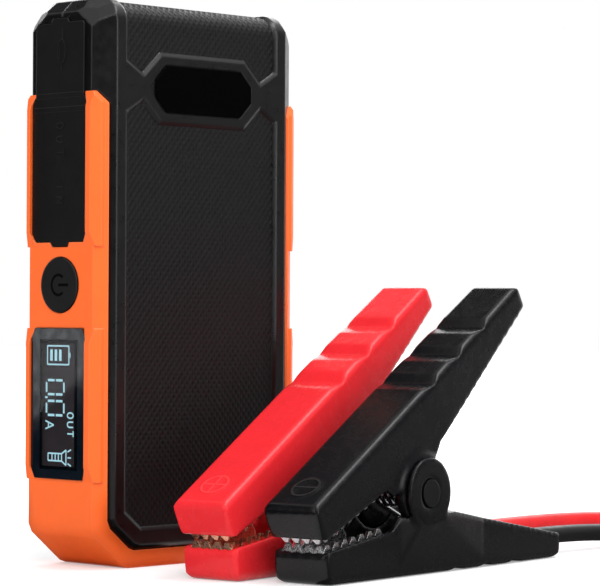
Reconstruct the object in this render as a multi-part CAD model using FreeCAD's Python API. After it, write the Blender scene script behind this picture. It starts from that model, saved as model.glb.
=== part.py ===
"""A jump starter pack with two clamps on short leads, standing on a table.

Millimetres. X runs across the pack, Y from front to back, Z up. The origin is at the
centre of the pack's base, the front faces -Y and the side with the ports faces -X.
"""
import FreeCAD, Part
import math
import os

Vector = FreeCAD.Vector

# Pack housing
pack_width = 91.4
pack_depth = 39.3
pack_height = 186.7
wide = pack_width / 91.4  # stretches of what keeps its share of the width, depth or height
deep = pack_depth / 39.3
tall = pack_height / 186.7
chamfer_width = 6.8
face_half_width = pack_width / 2 - chamfer_width
chamfer_depth = 4.9
top_facet_height = 4.5
top_facet_width = 4.7
top_facet_radius = 2.0
top_roll_radius = 8.0
side_trim = (0.809, 0.351, 0.470)
side_trim_height = pack_height - 9.9
face_trim = (0.647, 0.570, 0.505)
face_trim_height = pack_height - 8.7
corner_trim = (0.600, 0.300, 0.742)
corner_trim_height = pack_height - 6.65
face_foot_height = 7.7
face_foot_rise = 1.7
face_corner_height = 15.6
corner_slope = 39.5
corner_round = 7.0
dark_step = 1.55
shell_wall = 1.7
face_wall = 3.4
top_wall = 2.4

# Orange frame round both sides and the bottom
frame_wall = 2.3
lip_wall = 2.0
lip_proud = 0.8
lip_setback = 0.9
frame_foot_height = 6.2
frame_corner_height = 12.1
frame_top = 155.9 * tall
frame_top_drop = 5.0
grip_proud = 1.5
grip_slope = 4.8
grip_shoulder = 0.7
grip_inset = 2.0
upper_grip_bottom = 105.4 * tall
lower_grip_bottom = 28.6 * tall
lower_grip_top = 78.6 * tall

# Textured panels
panel_side_margin = 3.9
panel_half_width = face_half_width - panel_side_margin
panel_recess = 0.8
panel_thickness = 1.0
panel_bevel = 1.5
panel_foot = 12.2
panel_foot_corner = 6.1
panel_notch_depth = 7.4
panel_shoulder = 4.7
band_low = 147.4 * tall
band_high = 168.5 * tall
notch_inner_half = 19.2 * wide
notch_outer_half = 27.0 * wide
panel_top_margin = 3.6

# Blank badge
badge_half_width = 22.0 * wide
badge_height = 15.5 * tall
badge_thickness = 1.3
badge_proud = 0.5
badge_corner = 5.0

# Left side: port cover, button and display, all centred on one line
side_line = 0.4
cover_bottom = 107.1 * tall
cover_top = 179.0 * tall
cover_half_width = 13.6 * deep
cover_neck_half_width = 11.9 * deep
cover_neck_low = 152.2 * tall
cover_neck_high = 155.6 * tall
cover_thickness = 1.6
cover_proud = 0.5
cover_gap = 0.3
cover_corner = 2.0
neck_corner = 0.8
tab_half_width = 4.5
tab_reach = 1.5
tab_slant = 1.0
hinge_low = 149.9 * tall
hinge_high = 155.7 * tall
anchor_half_width = 8.0
stud_offset = 5.0
stud_radius = 1.0
bay_thickness = 1.4
button_radius = 9.0
button_gap = 0.3
button_flange = 1.3
button_flange_thickness = 0.85
button_travel = 0.5
button_rest_gap = 0.03
window_bottom = 29.2 * tall
window_top = 78.6 * tall
button_height = (window_top + cover_bottom) / 2
window_half_width = 13.6 * deep
window_corner = 3.6
window_thickness = 1.5
window_proud = 0.6
window_ledge = 1.5
window_gap = 0.1
module_depth = 3.7
board_thickness = 1.6
control_board_margin = 3.0
control_board_half_width = 13.5 * deep
control_board_over_button = 14.0
switch_height = 1.6
switch_half_width = 3.0
plunger_radius = 1.6

# Ports
socket_height = 166.0 * tall
socket_length = 21.0
socket_half_height = 11.0
socket_half_depth = 6.1
socket_pocket_depth = 8.0
contact_pitch = 9.0
contact_bore_radius = 2.55
contact_wall = 0.85
contact_length = 12.0
usb_lower_over_charge = 12.9 * tall
usb_upper_over_lower = 15.5 * tall
usb_half_width = 6.6
usb_height = 5.8
usb_length = 13.6
usb_metal = 0.35
tongue_thickness = 1.9
charge_over_cover_bottom = 7.5 * tall
charge_height = cover_bottom + charge_over_cover_bottom
usb_lower_height = charge_height + usb_lower_over_charge
usb_upper_height = usb_lower_height + usb_upper_over_lower
charge_half_width = 4.5
charge_thickness = 3.2
charge_length = 7.4
main_board_bottom = 109.0 * tall
main_board_top = 152.0 * tall
main_board_gap = 0.6

# Cells and torch
cell_width = 50.0 * wide
cell_thickness = 9.0 * deep
cell_length = 125.0 * tall
cell_centre = 4.0 * wide
cell_bottom = 6.4
cell_corner = 1.5
cell_gap = 0.1
pad_side_margin = 4.0
pad_end_margin = 6.0
tab_half_size = 3.0
tab_height = 3.0
tab_pitch = 14.0
tab_plate = 1.2
lead_radius = 2.0
lead_bend = 8.0
torch_half_width = 9.5
torch_half_depth = 4.3
torch_lens_thickness = 1.8
torch_cup_height = 7.2
torch_gap = 0.1

# Housing screws, under the back panel
post_radius = 3.2
screw_radius = 1.25
screw_head_radius = 2.4
screw_head_thickness = 1.4
screw_length = 26.0 * deep
screw_gap = 0.15
post_places = [
    (-29.5 * wide, 22.5 * tall),
    (32.35 * wide, 22.5 * tall),
    (-16.0 * wide, 150.0 * tall),
    (29.5 * wide, 165.0 * tall),
]

# Clamps: X runs from nose to tail, Z from the jaws outward, origin at the pivot
pivot_height = 26.45
thick = pivot_height / 26.45  # stretch of what keeps its share of a half's thickness
jaw_angle = 31.6
clamp_width = 21.5
upper_rise = 1.35
upper_tail_extra = -0.4
nose_top = 49.0
nose_round = 3.0
nose_mouth = 51.0
mouth_offset = 16.1 * thick
throat_start = 15.5
throat_offset = 11.3 * thick
wing_start = 12.8
wing_offset = 7.0 * thick
neck_start = 13.2
neck_offset = 6.0 * thick
tail_end = 85.4
tail_offset = 18.2 * thick
upper_tail_round = 4.5
lower_tail_round = 6.0
tail_half = 9.4
taper_start = 24.0
clamp_wall = 2.5
clamp_back = 3.8
nose_wall = 4.5
tail_wall = 3.6
edge_bevel = 1.6
lower_groove_start = 20.7
lower_groove_pitch = 17.4
lower_groove_drop = 3.0
lower_groove_rise = 5.2
lower_groove_depth = 1.3
upper_groove_start = 23.6
upper_groove_pitch = 17.2
upper_groove_drop = 6.0
upper_groove_rise = 4.2
upper_groove_depth = 1.7
groove_edge_round = 3.0
groove_low_round = 0.8
groove_crest_round = 4.0
tail_inner_round = 1.5
neck_slant = 3.3
neck_step = 0.7
neck_round = 3.0
neck_end_drop = 0.3
neck_end_round = 1.0
wing_slant = 2.3
wing_round = 0.8
throat_round = 2.5
mouth_round = 2.2
nose_corner = 2.4
tail_corner = 3.4
ear_radius = 11.8
boss_height = 1.2
boss_foot = 2.4
disc_radius = 11.6
disc_thickness = 1.8
disc_bevel = 0.5
ear_gap = 0.3
disc_gap = 0.3
ramp_start = -13.0
ramp_flat_start = -5.0
ramp_flat_end = 8.0
ramp_end = 34.0
ramp_foot = 22.5 * thick
ramp_crest = 9.5 * thick
pin_radius = 2.5
pin_gap = 0.06
pin_head_radius = 4.45
pin_head_thickness = 1.2
pin_head_seat = 1.0
pin_head_gap = 0.35
ring_place = -38.6
ring_radius = 4.9
ring_width = 0.7
ring_proud = 0.35

# Toothed jaw plates
jaw_metal = 1.2
jaw_half_width = 8.1
jaw_front = 49.2
jaw_length = 33.0
jaw_tip_gap = 0.3
tooth_height = 2.4
front_teeth = 4
side_teeth = 7
jaw_tip_rear = 10.1 * thick
rivet_place = -33.0
rivet_radius = 1.5
rivet_post_radius = 3.6
rivet_head_radius = 3.0
rivet_head_thickness = 1.0
barrel_radius = 2.9
barrel_length = 11.0

# Torsion spring round each pin
wire_radius = 0.8
coil_radius = 4.2
coil_pitch = 2.5
coil_turns = 4
leg_reach = 38.0

# Leads and plug
lead_wire_radius = 3.0
lead_floor_gap = 0.05
lead_start = 76.0
lead_slot_gap = 0.1
plug_length = 42.0
plug_half_width = 11.5
plug_half_height = 6.2
plug_lead_pitch = 9.0
plug_nose_length = 9.0
plug_nose_inset = 1.3
boot_length = 22.0
boot_front_radius = 5.0
boot_rear_radius = 3.6
plug_pin_radius = 2.5
plug_pin_length = 11.0
plug_x = 106.0
plug_y = -166.0
lead_first_run = 31.0
lead_last_run = 16.0

# Places of the clamps on the table: pivot across, pivot front to back, heading in degrees
black_place = (21.9, -87.6, 6.2)
red_place = (10.5, -57.8, 7.4)

# Routes of the free leads after they leave the tails, chosen by hand
black_route = [
    (164.0, -75.5, 4.4),
    (193.0, -84.0, 3.15),
    (211.0, -103.0, 3.1),
    (214.5, -129.0, 3.1),
    (203.0, -151.0, 3.5),
]
red_route = [
    (151.0, -39.6, 6.8),
    (188.0, -36.5, 6.0),
    (216.0, -48.0, 4.2),
    (233.0, -71.0, 3.2),
    (237.0, -100.0, 3.1),
    (233.0, -129.0, 3.1),
    (221.0, -153.0, 3.2),
    (204.0, -167.0, 4.6),
]

# Sizes worked out from the ones above
side = pack_width / 2
front = pack_depth / 2
chamfer_across = side - face_half_width
chamfer_length = math.hypot(chamfer_across, chamfer_depth)
chamfer_nx = chamfer_depth / chamfer_length
chamfer_ny = chamfer_across / chamfer_length
shell_chamfer = chamfer_nx * face_half_width + chamfer_ny * front
frame_chamfer = shell_chamfer + lip_proud
liner_chamfer = frame_chamfer - lip_wall
cavity_chamfer = liner_chamfer - shell_wall
corner_nx = math.sin(math.radians(corner_slope))
corner_nz = math.cos(math.radians(corner_slope))
frame_front = front - lip_setback
frame_inner = side - frame_wall
shell_inner = frame_inner - shell_wall
face_inner = front - face_wall
grip_face = side + grip_proud
cover_face = side + cover_proud
cover_back = cover_face - cover_thickness
bay_face = cover_back - cover_gap
window_face = side + window_proud
window_back = window_face - window_thickness
board_face = window_back - module_depth - window_thickness
clamp_half = clamp_width / 2
cavity_half = clamp_half - clamp_wall
boss_face = clamp_half + boss_height
disc_inner = boss_face + disc_gap
disc_face = disc_inner + disc_thickness
socket_back = bay_face - socket_length
lead_height_in_tail = clamp_back + lead_wire_radius + lead_floor_gap
jaw_base = pivot_height - lead_height_in_tail
main_board_outer = shell_inner - main_board_gap
main_board_inner = cell_width / 2 - cell_centre + main_board_gap
FAR = 400.0

nodes = {}


def keep(name, shape):
    """Files one piece under its node's name."""
    nodes[name] = shape
    return shape


def spot(plane, u, v, level):
    """A point of a plane: u and v in the plane, level along its normal."""
    if plane == "xy":
        return Vector(u, v, level)
    if plane == "xz":
        return Vector(u, level, v)
    return Vector(level, u, v)


def box(x0, x1, y0, y1, z0, z1):
    return Part.makeBox(x1 - x0, y1 - y0, z1 - z0, Vector(x0, y0, z0))


def rounded_wire(corners, radii):
    """A closed wire through the corners, each rounded by its own radius."""
    edges = []
    count = len(corners)
    ends = []
    for i, corner in enumerate(corners):
        back = (corners[i - 1] - corner).normalize()
        ahead = (corners[(i + 1) % count] - corner).normalize()
        radius = radii[i]
        if radius <= 0:
            ends.append((corner, None, corner))
            continue
        half = back.getAngle(ahead) / 2
        reach = radius / math.tan(half)
        middle = (back + ahead).normalize()
        arc_middle = corner + middle * (radius / math.sin(half) - radius)
        ends.append((corner + back * reach, arc_middle, corner + ahead * reach))
    for i in range(count):
        start, arc_middle, finish = ends[i]
        if arc_middle is not None:
            edges.append(Part.Arc(start, arc_middle, finish).toShape())
        following = ends[(i + 1) % count][0]
        if finish.distanceToPoint(following) > 1e-6:
            edges.append(Part.LineSegment(finish, following).toShape())
    return Part.Wire(edges)


def prism(plane, outline, low, high, radius=0.0):
    """An outline of (u, v) or (u, v, radius) points, drawn out from low to high."""
    corners = [spot(plane, p[0], p[1], low) for p in outline]
    radii = [p[2] if len(p) > 2 else radius for p in outline]
    face = Part.Face(rounded_wire(corners, radii))
    return face.extrude(spot(plane, 0, 0, high) - spot(plane, 0, 0, low))


def cylinder_y(radius, y0, y1, x=0.0, z=0.0):
    return Part.makeCylinder(radius, y1 - y0, Vector(x, y0, z), Vector(0, 1, 0))


def cylinder_x(radius, x0, x1, y=0.0, z=0.0):
    return Part.makeCylinder(radius, x1 - x0, Vector(x0, y, z), Vector(1, 0, 0))


def fused(shapes):
    result = shapes[0]
    if len(shapes) > 1:
        result = result.fuse(shapes[1:])
    return result.removeSplitter()


def cut(shape, tools):
    return shape.cut(tools) if tools else shape


def crossing(a, b):
    """Where two lines of a front view meet, each given as x part, z part and distance."""
    det = a[0] * b[1] - b[0] * a[1]
    return ((a[2] * b[1] - b[2] * a[1]) / det, (a[0] * b[2] - b[0] * a[2]) / det)


def line_past(angle, point, cut_off):
    """A line of this outward angle below the horizontal that cuts a corner off."""
    nx = math.cos(math.radians(angle))
    nz = -math.sin(math.radians(angle))
    return (nx, nz, nx * point[0] + nz * point[1] - cut_off)


def ring_of_points(y, half_width, foot, corner, top, radius=corner_round):
    """The housing's outline at one depth: straight sides, two sloped and eased bottom corners."""
    slope = 90.0 - corner_slope
    upright = (1.0, 0.0, half_width)
    sloped = (corner_nx, -corner_nz, corner)
    flat = (0.0, -1.0, -foot)
    half = [(half_width, top)]
    for first, second, a, b in ((upright, sloped, 0.0, slope), (sloped, flat, slope, 90.0)):
        sharp = crossing(first, second)
        turn = math.radians((b - a) / 2)
        eased = line_past((a + b) / 2, sharp, radius * (1 / math.cos(turn) - 1))
        half.append(crossing(first, eased))
        half.append(crossing(eased, second))
    points = half + [(-x, z) for x, z in reversed(half)]
    return [Vector(x, y, z) for x, z in points]


def stacked(rings):
    """A solid with flat faces through rings of as many points each."""
    faces = [Part.Face(Part.makePolygon(ring + ring[:1])) for ring in (rings[0], rings[-1])]
    for first, second in zip(rings, rings[1:]):
        count = len(first)
        for i in range(count):
            j = (i + 1) % count
            corners = [first[i], first[j], second[j], second[i], first[i]]
            faces.append(Part.Face(Part.makePolygon(corners)))
    solid = Part.Solid(Part.Shell(faces))
    if solid.Volume < 0:
        solid.reverse()
    return solid


def corner_constant(half_width, height):
    """Where the sloped bottom corner meets a side of this half width at this height."""
    return corner_nx * half_width - corner_nz * height


def tub(chamfer, half_width, face, foot_side, foot_face, corner_side, corner_face, top):
    """A block of the housing's plan, with chamfered upright edges and sloped bottom corners."""
    side_y = (chamfer - chamfer_nx * half_width) / chamfer_ny
    face_half = (chamfer - chamfer_ny * face) / chamfer_nx
    outer = (face_half, foot_face, corner_face, top)
    inner = (half_width, foot_side, corner_side, top)
    levels = [(-face, outer), (-side_y, inner), (side_y, inner), (face, outer)]
    return stacked([ring_of_points(y, *sizes) for y, sizes in levels])


def top_shape(inset):
    """Everything under the faceted top of the housing, taken in by inset."""
    right = [(side, -9.0), (side, pack_height - top_facet_height)]
    right.append((side - top_facet_width, pack_height))
    outline = offset_outline(right + [(-x, z) for x, z in reversed(right)], -inset)
    elevation = [(x, z, 0.0 if z < 0 else top_facet_radius) for x, z in outline]
    deep = front - inset
    high = pack_height - inset
    roll = top_roll_radius - inset
    profile = [(-deep, -9.0, 0), (deep, -9.0, 0), (deep, high, roll), (-deep, high, roll)]
    shape = prism("xz", elevation, -deep, deep).common(prism("yz", profile, -side, side))
    tools = []
    for sx in (-1, 1):
        for sy in (-1, 1):
            tools.append(trimmed_corner(sx, sy, side_trim, side_trim_height, inset))
            tools.append(trimmed_corner(sx, sy, face_trim, face_trim_height, inset))
            tools.append(trimmed_corner(sx, sy, corner_trim, corner_trim_height, inset))
    return cut(shape, tools)


def trimmed_corner(sx, sy, slant, height, inset):
    """A block outside one slanted cut of a top corner."""
    nx, ny, nz = slant
    normal = Vector(sx * nx, sy * ny, nz)
    touch = Vector(sx * side, sy * (front - chamfer_depth), height) - normal * inset
    size = 60.0
    block = Part.makeBox(size, size, size, Vector(-size / 2, -size / 2, 0))
    block.Placement = FreeCAD.Placement(touch, FreeCAD.Rotation(Vector(0, 0, 1), normal))
    return block


def top_zone():
    """The space of the black top end, above the orange frame."""
    low = frame_top - frame_top_drop
    shoulder = (frame_chamfer - chamfer_nx * side) / chamfer_ny
    edge = frame_front + 0.2
    outline = [(-FAR, low), (-edge, low), (-shoulder, frame_top), (shoulder, frame_top)]
    outline += [(edge, low), (FAR, low), (FAR, FAR), (-FAR, FAR)]
    return prism("yz", outline, -FAR, FAR)


def face_slabs(outward):
    """The two black faces with the dark step of their chamfer, in front of the frame's lip.

    With outward set they flare forward instead, square to the chamfer, to trim the lip.
    """
    corner = corner_constant(face_half_width, face_corner_height)
    step_y = front - dark_step
    step_half = (shell_chamfer - chamfer_ny * step_y) / chamfer_nx
    grown = step_half - face_half_width
    foot = face_foot_height - face_foot_rise
    flare = dark_step * chamfer_nx / chamfer_ny + grown if outward else 0.0
    near_foot = foot if outward else face_foot_height
    sizes = (face_half_width + flare, near_foot, corner + flare, pack_height)
    slabs = []
    for sign in (-1, 1):
        near = ring_of_points(sign * front, *sizes)
        far = ring_of_points(sign * step_y, step_half, foot, corner + grown, pack_height)
        slabs.append(stacked([near, far]))
    return slabs


def frame_block():
    """The outside of the orange frame, as a full block."""
    face_half = (frame_chamfer - chamfer_ny * frame_front) / chamfer_nx
    corner_face = corner_constant(face_half, face_corner_height - 0.6)
    corner_side = corner_constant(side, frame_corner_height)
    sizes = (frame_front, 0.0, frame_foot_height, corner_side, corner_face)
    return tub(frame_chamfer, side, *sizes, frame_top + 2.0)


def liner_block():
    """The black liner inside the orange frame, as a full block."""
    step_y = front - dark_step
    corner_side = corner_constant(side, frame_corner_height) - frame_wall
    foot_face = frame_foot_height + frame_wall
    sizes = (step_y, frame_wall, foot_face, corner_side, corner_side - 3.8)
    return tub(liner_chamfer, frame_inner, *sizes, pack_height)


def cavity_block():
    """The hollow of the black housing."""
    corner_side = corner_constant(side, frame_corner_height) - frame_wall - shell_wall
    foot_side = frame_wall + shell_wall
    foot_face = foot_side + 4.5
    sizes = (face_inner, foot_side, foot_face, corner_side, corner_side - 2.8)
    block = tub(cavity_chamfer, shell_inner, *sizes, pack_height)
    return block.common(top_shape(top_wall))


def top_cap():
    """The black top end, out to the pack's full width."""
    plan = [(face_half_width, -front), (side, chamfer_depth - front)]
    plan += [(side, front - chamfer_depth), (face_half_width, front)]
    plan += [(-x, y) for x, y in reversed(plan)]
    block = prism("xy", plan, frame_top - frame_top_drop - 5.0, pack_height)
    return block.common(top_zone())


def offset_outline(outline, distance):
    """The outline moved outward all round by a distance, corner by corner."""
    count = len(outline)
    area = sum(
        outline[i - 1][0] * outline[i][1] - outline[i][0] * outline[i - 1][1]
        for i in range(count)
    )
    turn = 1.0 if area > 0 else -1.0
    moved = []
    for i in range(count):
        (ax, ay), (bx, by), (cx, cy) = outline[i - 1], outline[i], outline[(i + 1) % count]
        first = math.hypot(bx - ax, by - ay)
        second = math.hypot(cx - bx, cy - by)
        n1 = (turn * (by - ay) / first, -turn * (bx - ax) / first)
        n2 = (turn * (cy - by) / second, -turn * (cx - bx) / second)
        scale = distance / (1 + n1[0] * n2[0] + n1[1] * n2[1])
        moved.append((bx + (n1[0] + n2[0]) * scale, by + (n1[1] + n2[1]) * scale))
    return moved


def notched_edge(level, direction):
    """The recesses' edge beside the badge: a flat middle and a peak towards each side."""
    peak = level + direction * panel_notch_depth
    shoulder = peak - direction * panel_shoulder
    right = [(panel_half_width, shoulder), (notch_outer_half, peak), (notch_inner_half, level)]
    return right + [(-x, z) for x, z in reversed(right)]


def panel_foot_edge():
    corner = panel_foot_corner
    right = [(panel_half_width - 1.25 * corner, panel_foot), (panel_half_width, panel_foot + corner)]
    return [(-x, z) for x, z in reversed(right)] + right


def panel_top_edge():
    """The straight edge where a flat recess runs on over the rolled top."""
    level = pack_height - top_roll_radius + panel_bevel
    return [(panel_half_width, level), (-panel_half_width, level)]


def roll_strip(sign, x, depth, thickness):
    """A strip of the face where it rolls over the top, at one X, this deep under it."""
    start = pack_height - top_roll_radius
    ends_at = front - top_roll_radius - panel_top_margin
    turn = Vector(x, sign * (front - top_roll_radius), start)

    def run(level):
        radius = top_roll_radius - level
        low = Vector(x, sign * (front - level), start)
        high = Vector(x, turn.y, pack_height - level)
        diagonal = radius * math.sqrt(0.5)
        middle = turn + Vector(0, sign * diagonal, diagonal)
        last = Vector(x, sign * ends_at, pack_height - level)
        return low, middle, high, last

    low, middle, high, last = run(depth)
    low2, middle2, high2, last2 = run(depth + thickness)
    edges = [
        Part.Arc(low, middle, high).toShape(),
        Part.LineSegment(high, last).toShape(),
        Part.LineSegment(last, last2).toShape(),
        Part.LineSegment(last2, high2).toShape(),
        Part.Arc(high2, middle2, low2).toShape(),
        Part.LineSegment(low2, low).toShape(),
    ]
    return Part.Wire(edges)


def rolled_band(sign, half_width, depth, thickness):
    """The strip drawn out across the pack."""
    face = Part.Face(roll_strip(sign, -half_width, depth, thickness))
    return face.extrude(Vector(2 * half_width, 0, 0))


def flat_panel(sign, recess):
    """The flat part of a textured panel inside its recess."""
    low = sign * (front - panel_recess)
    high = sign * (front - panel_recess - panel_thickness)
    return prism("xz", offset_outline(recess, -panel_bevel), low, high)


def panel_recess_cut(sign, recess, rolled):
    """The pocket of a textured panel, with its bevelled rim."""
    inner = offset_outline(recess, -panel_bevel)
    rim = [[Vector(x, sign * front, z) for x, z in recess]]
    rim.append([Vector(x, sign * (front - panel_recess), z) for x, z in inner])
    tools = [stacked(rim), flat_panel(sign, recess)]
    if rolled:
        half = panel_half_width - panel_bevel
        clear = 0.5
        tools.append(rolled_band(sign, half, -clear, clear + panel_recess + panel_thickness))
        for side_sign in (-1, 1):
            deep = roll_strip(sign, side_sign * half, -clear, clear + panel_recess)
            shallow = roll_strip(sign, side_sign * panel_half_width, -clear, clear)
            tools.append(Part.makeLoft([deep, shallow], True, True))
    return tools


def upper_outline():
    return notched_edge(band_high, -1) + [(-x, z) for x, z in panel_top_edge()]


def lower_outline():
    return panel_foot_edge() + notched_edge(band_low, 1)


def back_outline():
    return panel_foot_edge() + panel_top_edge()


def badge_outline(half_width, height, corner):
    middle = (band_low + band_high) / 2
    half = height / 2
    right = [(half_width - corner, middle - half), (half_width, middle - half + corner)]
    right += [(half_width, middle + half - corner), (half_width - corner, middle + half)]
    return right + [(-x, z) for x, z in reversed(right)]


def badge_shape(gap):
    outline = badge_outline(badge_half_width + gap, badge_height + 2 * gap, badge_corner)
    outer = badge_proud if gap == 0 else 2.0
    return prism("xz", outline, -front - outer, -front + badge_thickness - badge_proud)


def cover_outline(grow):
    """The port cover's outline in depth and height, with a pull tab at each end."""
    half = cover_half_width + grow
    neck = cover_neck_half_width + grow
    tab = tab_half_width + grow
    low = cover_bottom - grow
    high = cover_top + grow
    right = [
        (tab - tab_slant, low - tab_reach), (tab, low), (half - cover_corner, low),
        (half, low + 1.4 * cover_corner), (half, cover_neck_low), (neck, cover_neck_high),
        (neck, high - neck_corner), (neck - neck_corner, high), (tab, high),
        (tab - tab_slant, high + tab_reach),
    ]
    return [(side_line + y, z) for y, z in right + [(-y, z) for y, z in reversed(right)]]


def cover_opening():
    return prism("yz", cover_outline(cover_gap), -FAR, -shell_inner + 0.5)


def window_outline(grow):
    """The display window's outline, with cut corners."""
    half = window_half_width + grow
    low = window_bottom - grow
    high = window_top + grow
    corner = window_corner
    right = [(half - corner / 2, low), (half, low + corner), (half, high - corner)]
    right += [(half - corner / 2, high)]
    return [(side_line + y, z) for y, z in right + [(-y, z) for y, z in reversed(right)]]


def window_opening():
    seat = prism("yz", window_outline(window_gap), -FAR, -window_back)
    through = prism("yz", window_outline(-window_ledge), -FAR, -shell_inner + 0.5)
    return [seat, through]


def button_opening():
    outer = cylinder_x(button_radius + button_gap, -FAR, -shell_inner + 0.5, side_line, button_height)
    inner_radius = button_radius + button_flange + 0.4
    inner = cylinder_x(inner_radius, -frame_inner, -shell_inner + 0.5, side_line, button_height)
    return [outer, inner]


def grips():
    """The raised grips on both sides of the frame, front to back over the chamfers."""
    bevel = frame_chamfer + 0.6 * grip_proud
    corner_y = (bevel - chamfer_nx * grip_face) / chamfer_ny
    shoulder_y = frame_front - grip_shoulder
    shoulder_x = (bevel - chamfer_ny * shoulder_y) / chamfer_nx
    inner = frame_inner - grip_inset
    plan = [(inner, -shoulder_y), (shoulder_x, -shoulder_y), (grip_face, -corner_y)]
    plan += [(grip_face, corner_y), (shoulder_x, shoulder_y), (inner, shoulder_y)]
    pads = []
    spans = [(upper_grip_bottom, frame_top), (lower_grip_bottom, lower_grip_top)]
    for sign in (-1, 1):
        column = prism("xy", [(sign * x, y) for x, y in plan], 0.0, pack_height)
        for low, high in spans:
            outline = [(inner, low), (side, low), (grip_face, low + grip_slope)]
            outline += [(grip_face, high - grip_slope), (side, high), (inner, high)]
            elevation = prism("xz", [(sign * x, z) for x, z in outline], -front, front)
            pads.append(column.common(elevation))
    return pads


def torch_opening():
    half = torch_half_width + torch_gap
    deep = torch_half_depth + torch_gap
    return box(-half, half, -deep, deep, pack_height - 4.0, FAR)


def post_shapes(y0, y1):
    return [cylinder_y(post_radius, y0, y1, x, z) for x, z in post_places]


def make_housing():
    """Front cover, back cover and the orange frame."""
    liner = liner_block()
    outside = fused(face_slabs(False) + [liner, top_cap()]).common(top_shape(0.0))
    openings = [cover_opening(), torch_opening()] + window_opening() + button_opening()
    tools = [cavity_block()] + openings
    tools += panel_recess_cut(-1, upper_outline(), True)
    tools += panel_recess_cut(-1, lower_outline(), False)
    tools += panel_recess_cut(1, back_outline(), True)
    tools.append(badge_shape(0.05))
    shell = cut(outside, tools)
    near = box(-FAR, FAR, -FAR, 0.0, -FAR, FAR)
    far = box(-FAR, FAR, 0.0, FAR, -FAR, FAR)
    front_shell = fused([shell.common(near)] + post_shapes(-face_inner - 0.1, 0.0))
    pilot = [cylinder_y(screw_radius + 0.02, -screw_end() - 1.0, 1.0, x, z) for x, z in post_places]
    keep("front_cover", cut(front_shell, pilot))
    back_shell = fused([shell.common(far)] + post_shapes(0.0, face_inner + 0.1))
    seat = head_seat()
    holes = []
    for x, z in post_places:
        holes.append(cylinder_y(screw_radius + screw_gap, -1.0, seat + 1.0, x, z))
        holes.append(cylinder_y(screw_head_radius + screw_gap, seat, FAR, x, z))
    keep("back_cover", cut(back_shell, holes))
    block = fused([cut(frame_block(), [top_zone()])] + grips())
    frame = cut(block, [liner, top_zone()] + face_slabs(True) + openings)
    keep("side_frame", frame.removeSplitter())


def head_seat():
    """How far back the screw heads sit, flush with the back panel's pocket."""
    return front - panel_recess - panel_thickness - screw_head_thickness


def screw_end():
    """How far forward the screws reach."""
    return screw_length - head_seat()


def make_panels():
    """Textured panels and the blank badge."""
    half = panel_half_width - panel_bevel
    rolled = rolled_band(-1, half, panel_recess, panel_thickness)
    keep("grip_panel_upper", fused([flat_panel(-1, upper_outline()), rolled]))
    keep("grip_panel_lower", flat_panel(-1, lower_outline()))
    rolled = rolled_band(1, half, panel_recess, panel_thickness)
    keep("back_grip_panel", fused([flat_panel(1, back_outline()), rolled]))
    keep("badge_plate", badge_shape(0.0))


def make_screws():
    """The four housing screws."""
    seat = head_seat()
    screws = []
    for x, z in post_places:
        head = cylinder_y(screw_head_radius, seat, seat + screw_head_thickness - 0.05, x, z)
        slot = box(x - 0.35, x + 0.35, seat + 0.7, FAR, z - 1.6, z + 1.6)
        cross = box(x - 1.6, x + 1.6, seat + 0.7, FAR, z - 0.35, z + 0.35)
        shaft = cylinder_y(screw_radius, -screw_end(), seat + 0.1, x, z)
        screws.append(cut(fused([head, shaft]), [slot, cross]))
    keep("case_screws", Part.makeCompound(screws))


def make_cover():
    """The rubber port cover: a fixed band and a leaf each side of it."""
    sheet = prism("yz", cover_outline(0.0), -cover_face, -cover_back)
    axis_x = -cover_face + cover_thickness / 2
    radius = cover_thickness / 2
    above = box(-FAR, FAR, -FAR, FAR, hinge_high, FAR)
    below = box(-FAR, FAR, -FAR, FAR, -FAR, hinge_low)
    neck = cover_neck_half_width
    half = cover_half_width
    bead_high = cylinder_y(radius, side_line - neck, side_line + neck, axis_x, hinge_high)
    bead_low = cylinder_y(radius, side_line - half, side_line + half, axis_x, hinge_low)
    keep("port_leaf_upper", fused([sheet.common(above), bead_high]))
    keep("port_leaf_lower", fused([sheet.common(below), bead_low]))
    low = hinge_low + radius + cover_gap
    high = hinge_high - radius - cover_gap
    band = sheet.common(box(-FAR, FAR, -FAR, FAR, low, high))
    middle = (low + high) / 2
    half = anchor_half_width
    foot = box(-cover_back - 0.1, -bay_face, side_line - half, side_line + half, low, high)
    studs = [cylinder_x(stud_radius, -bay_face - 0.1, -bay_face + bay_thickness, side_line + y,
                        middle) for y in (-stud_offset, stud_offset)]
    keep("port_cover_anchor", fused([band, foot] + studs))


def make_bay():
    """The black plate behind the cover, with a hole for each port."""
    plate = prism("yz", cover_outline(cover_gap - 0.05), -bay_face, -bay_face + bay_thickness)
    low = hinge_low + cover_thickness / 2 + cover_gap
    high = hinge_high - cover_thickness / 2 - cover_gap
    middle = (low + high) / 2
    reach = bay_face + 1.0
    tools = [cylinder_x(stud_radius, -reach, 0.0, side_line + y, middle)
             for y in (-stud_offset, stud_offset)]
    half_deep = usb_height / 2 + 0.1
    for z in (usb_upper_height, usb_lower_height):
        half = usb_half_width + 0.1
        tools.append(box(-reach, 0, side_line - half_deep, side_line + half_deep, z - half, z + half))
    centre = charge_centre()
    half = charge_half_width + 0.1
    deep = charge_thickness / 2 + 0.1
    tools.append(box(-reach, 0, centre - deep, centre + deep, charge_height - half,
                     charge_height + half))
    half = socket_half_height + 0.05
    deep = socket_half_depth + 0.05
    tools.append(box(-reach, 0, side_line - deep, side_line + deep, socket_height - half,
                     socket_height + half))
    keep("port_bay", cut(plate, tools))


def charge_centre():
    return side_line + usb_height / 2 - charge_thickness / 2


def contact_heights():
    return (socket_height + contact_pitch / 2, socket_height - contact_pitch / 2)


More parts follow.
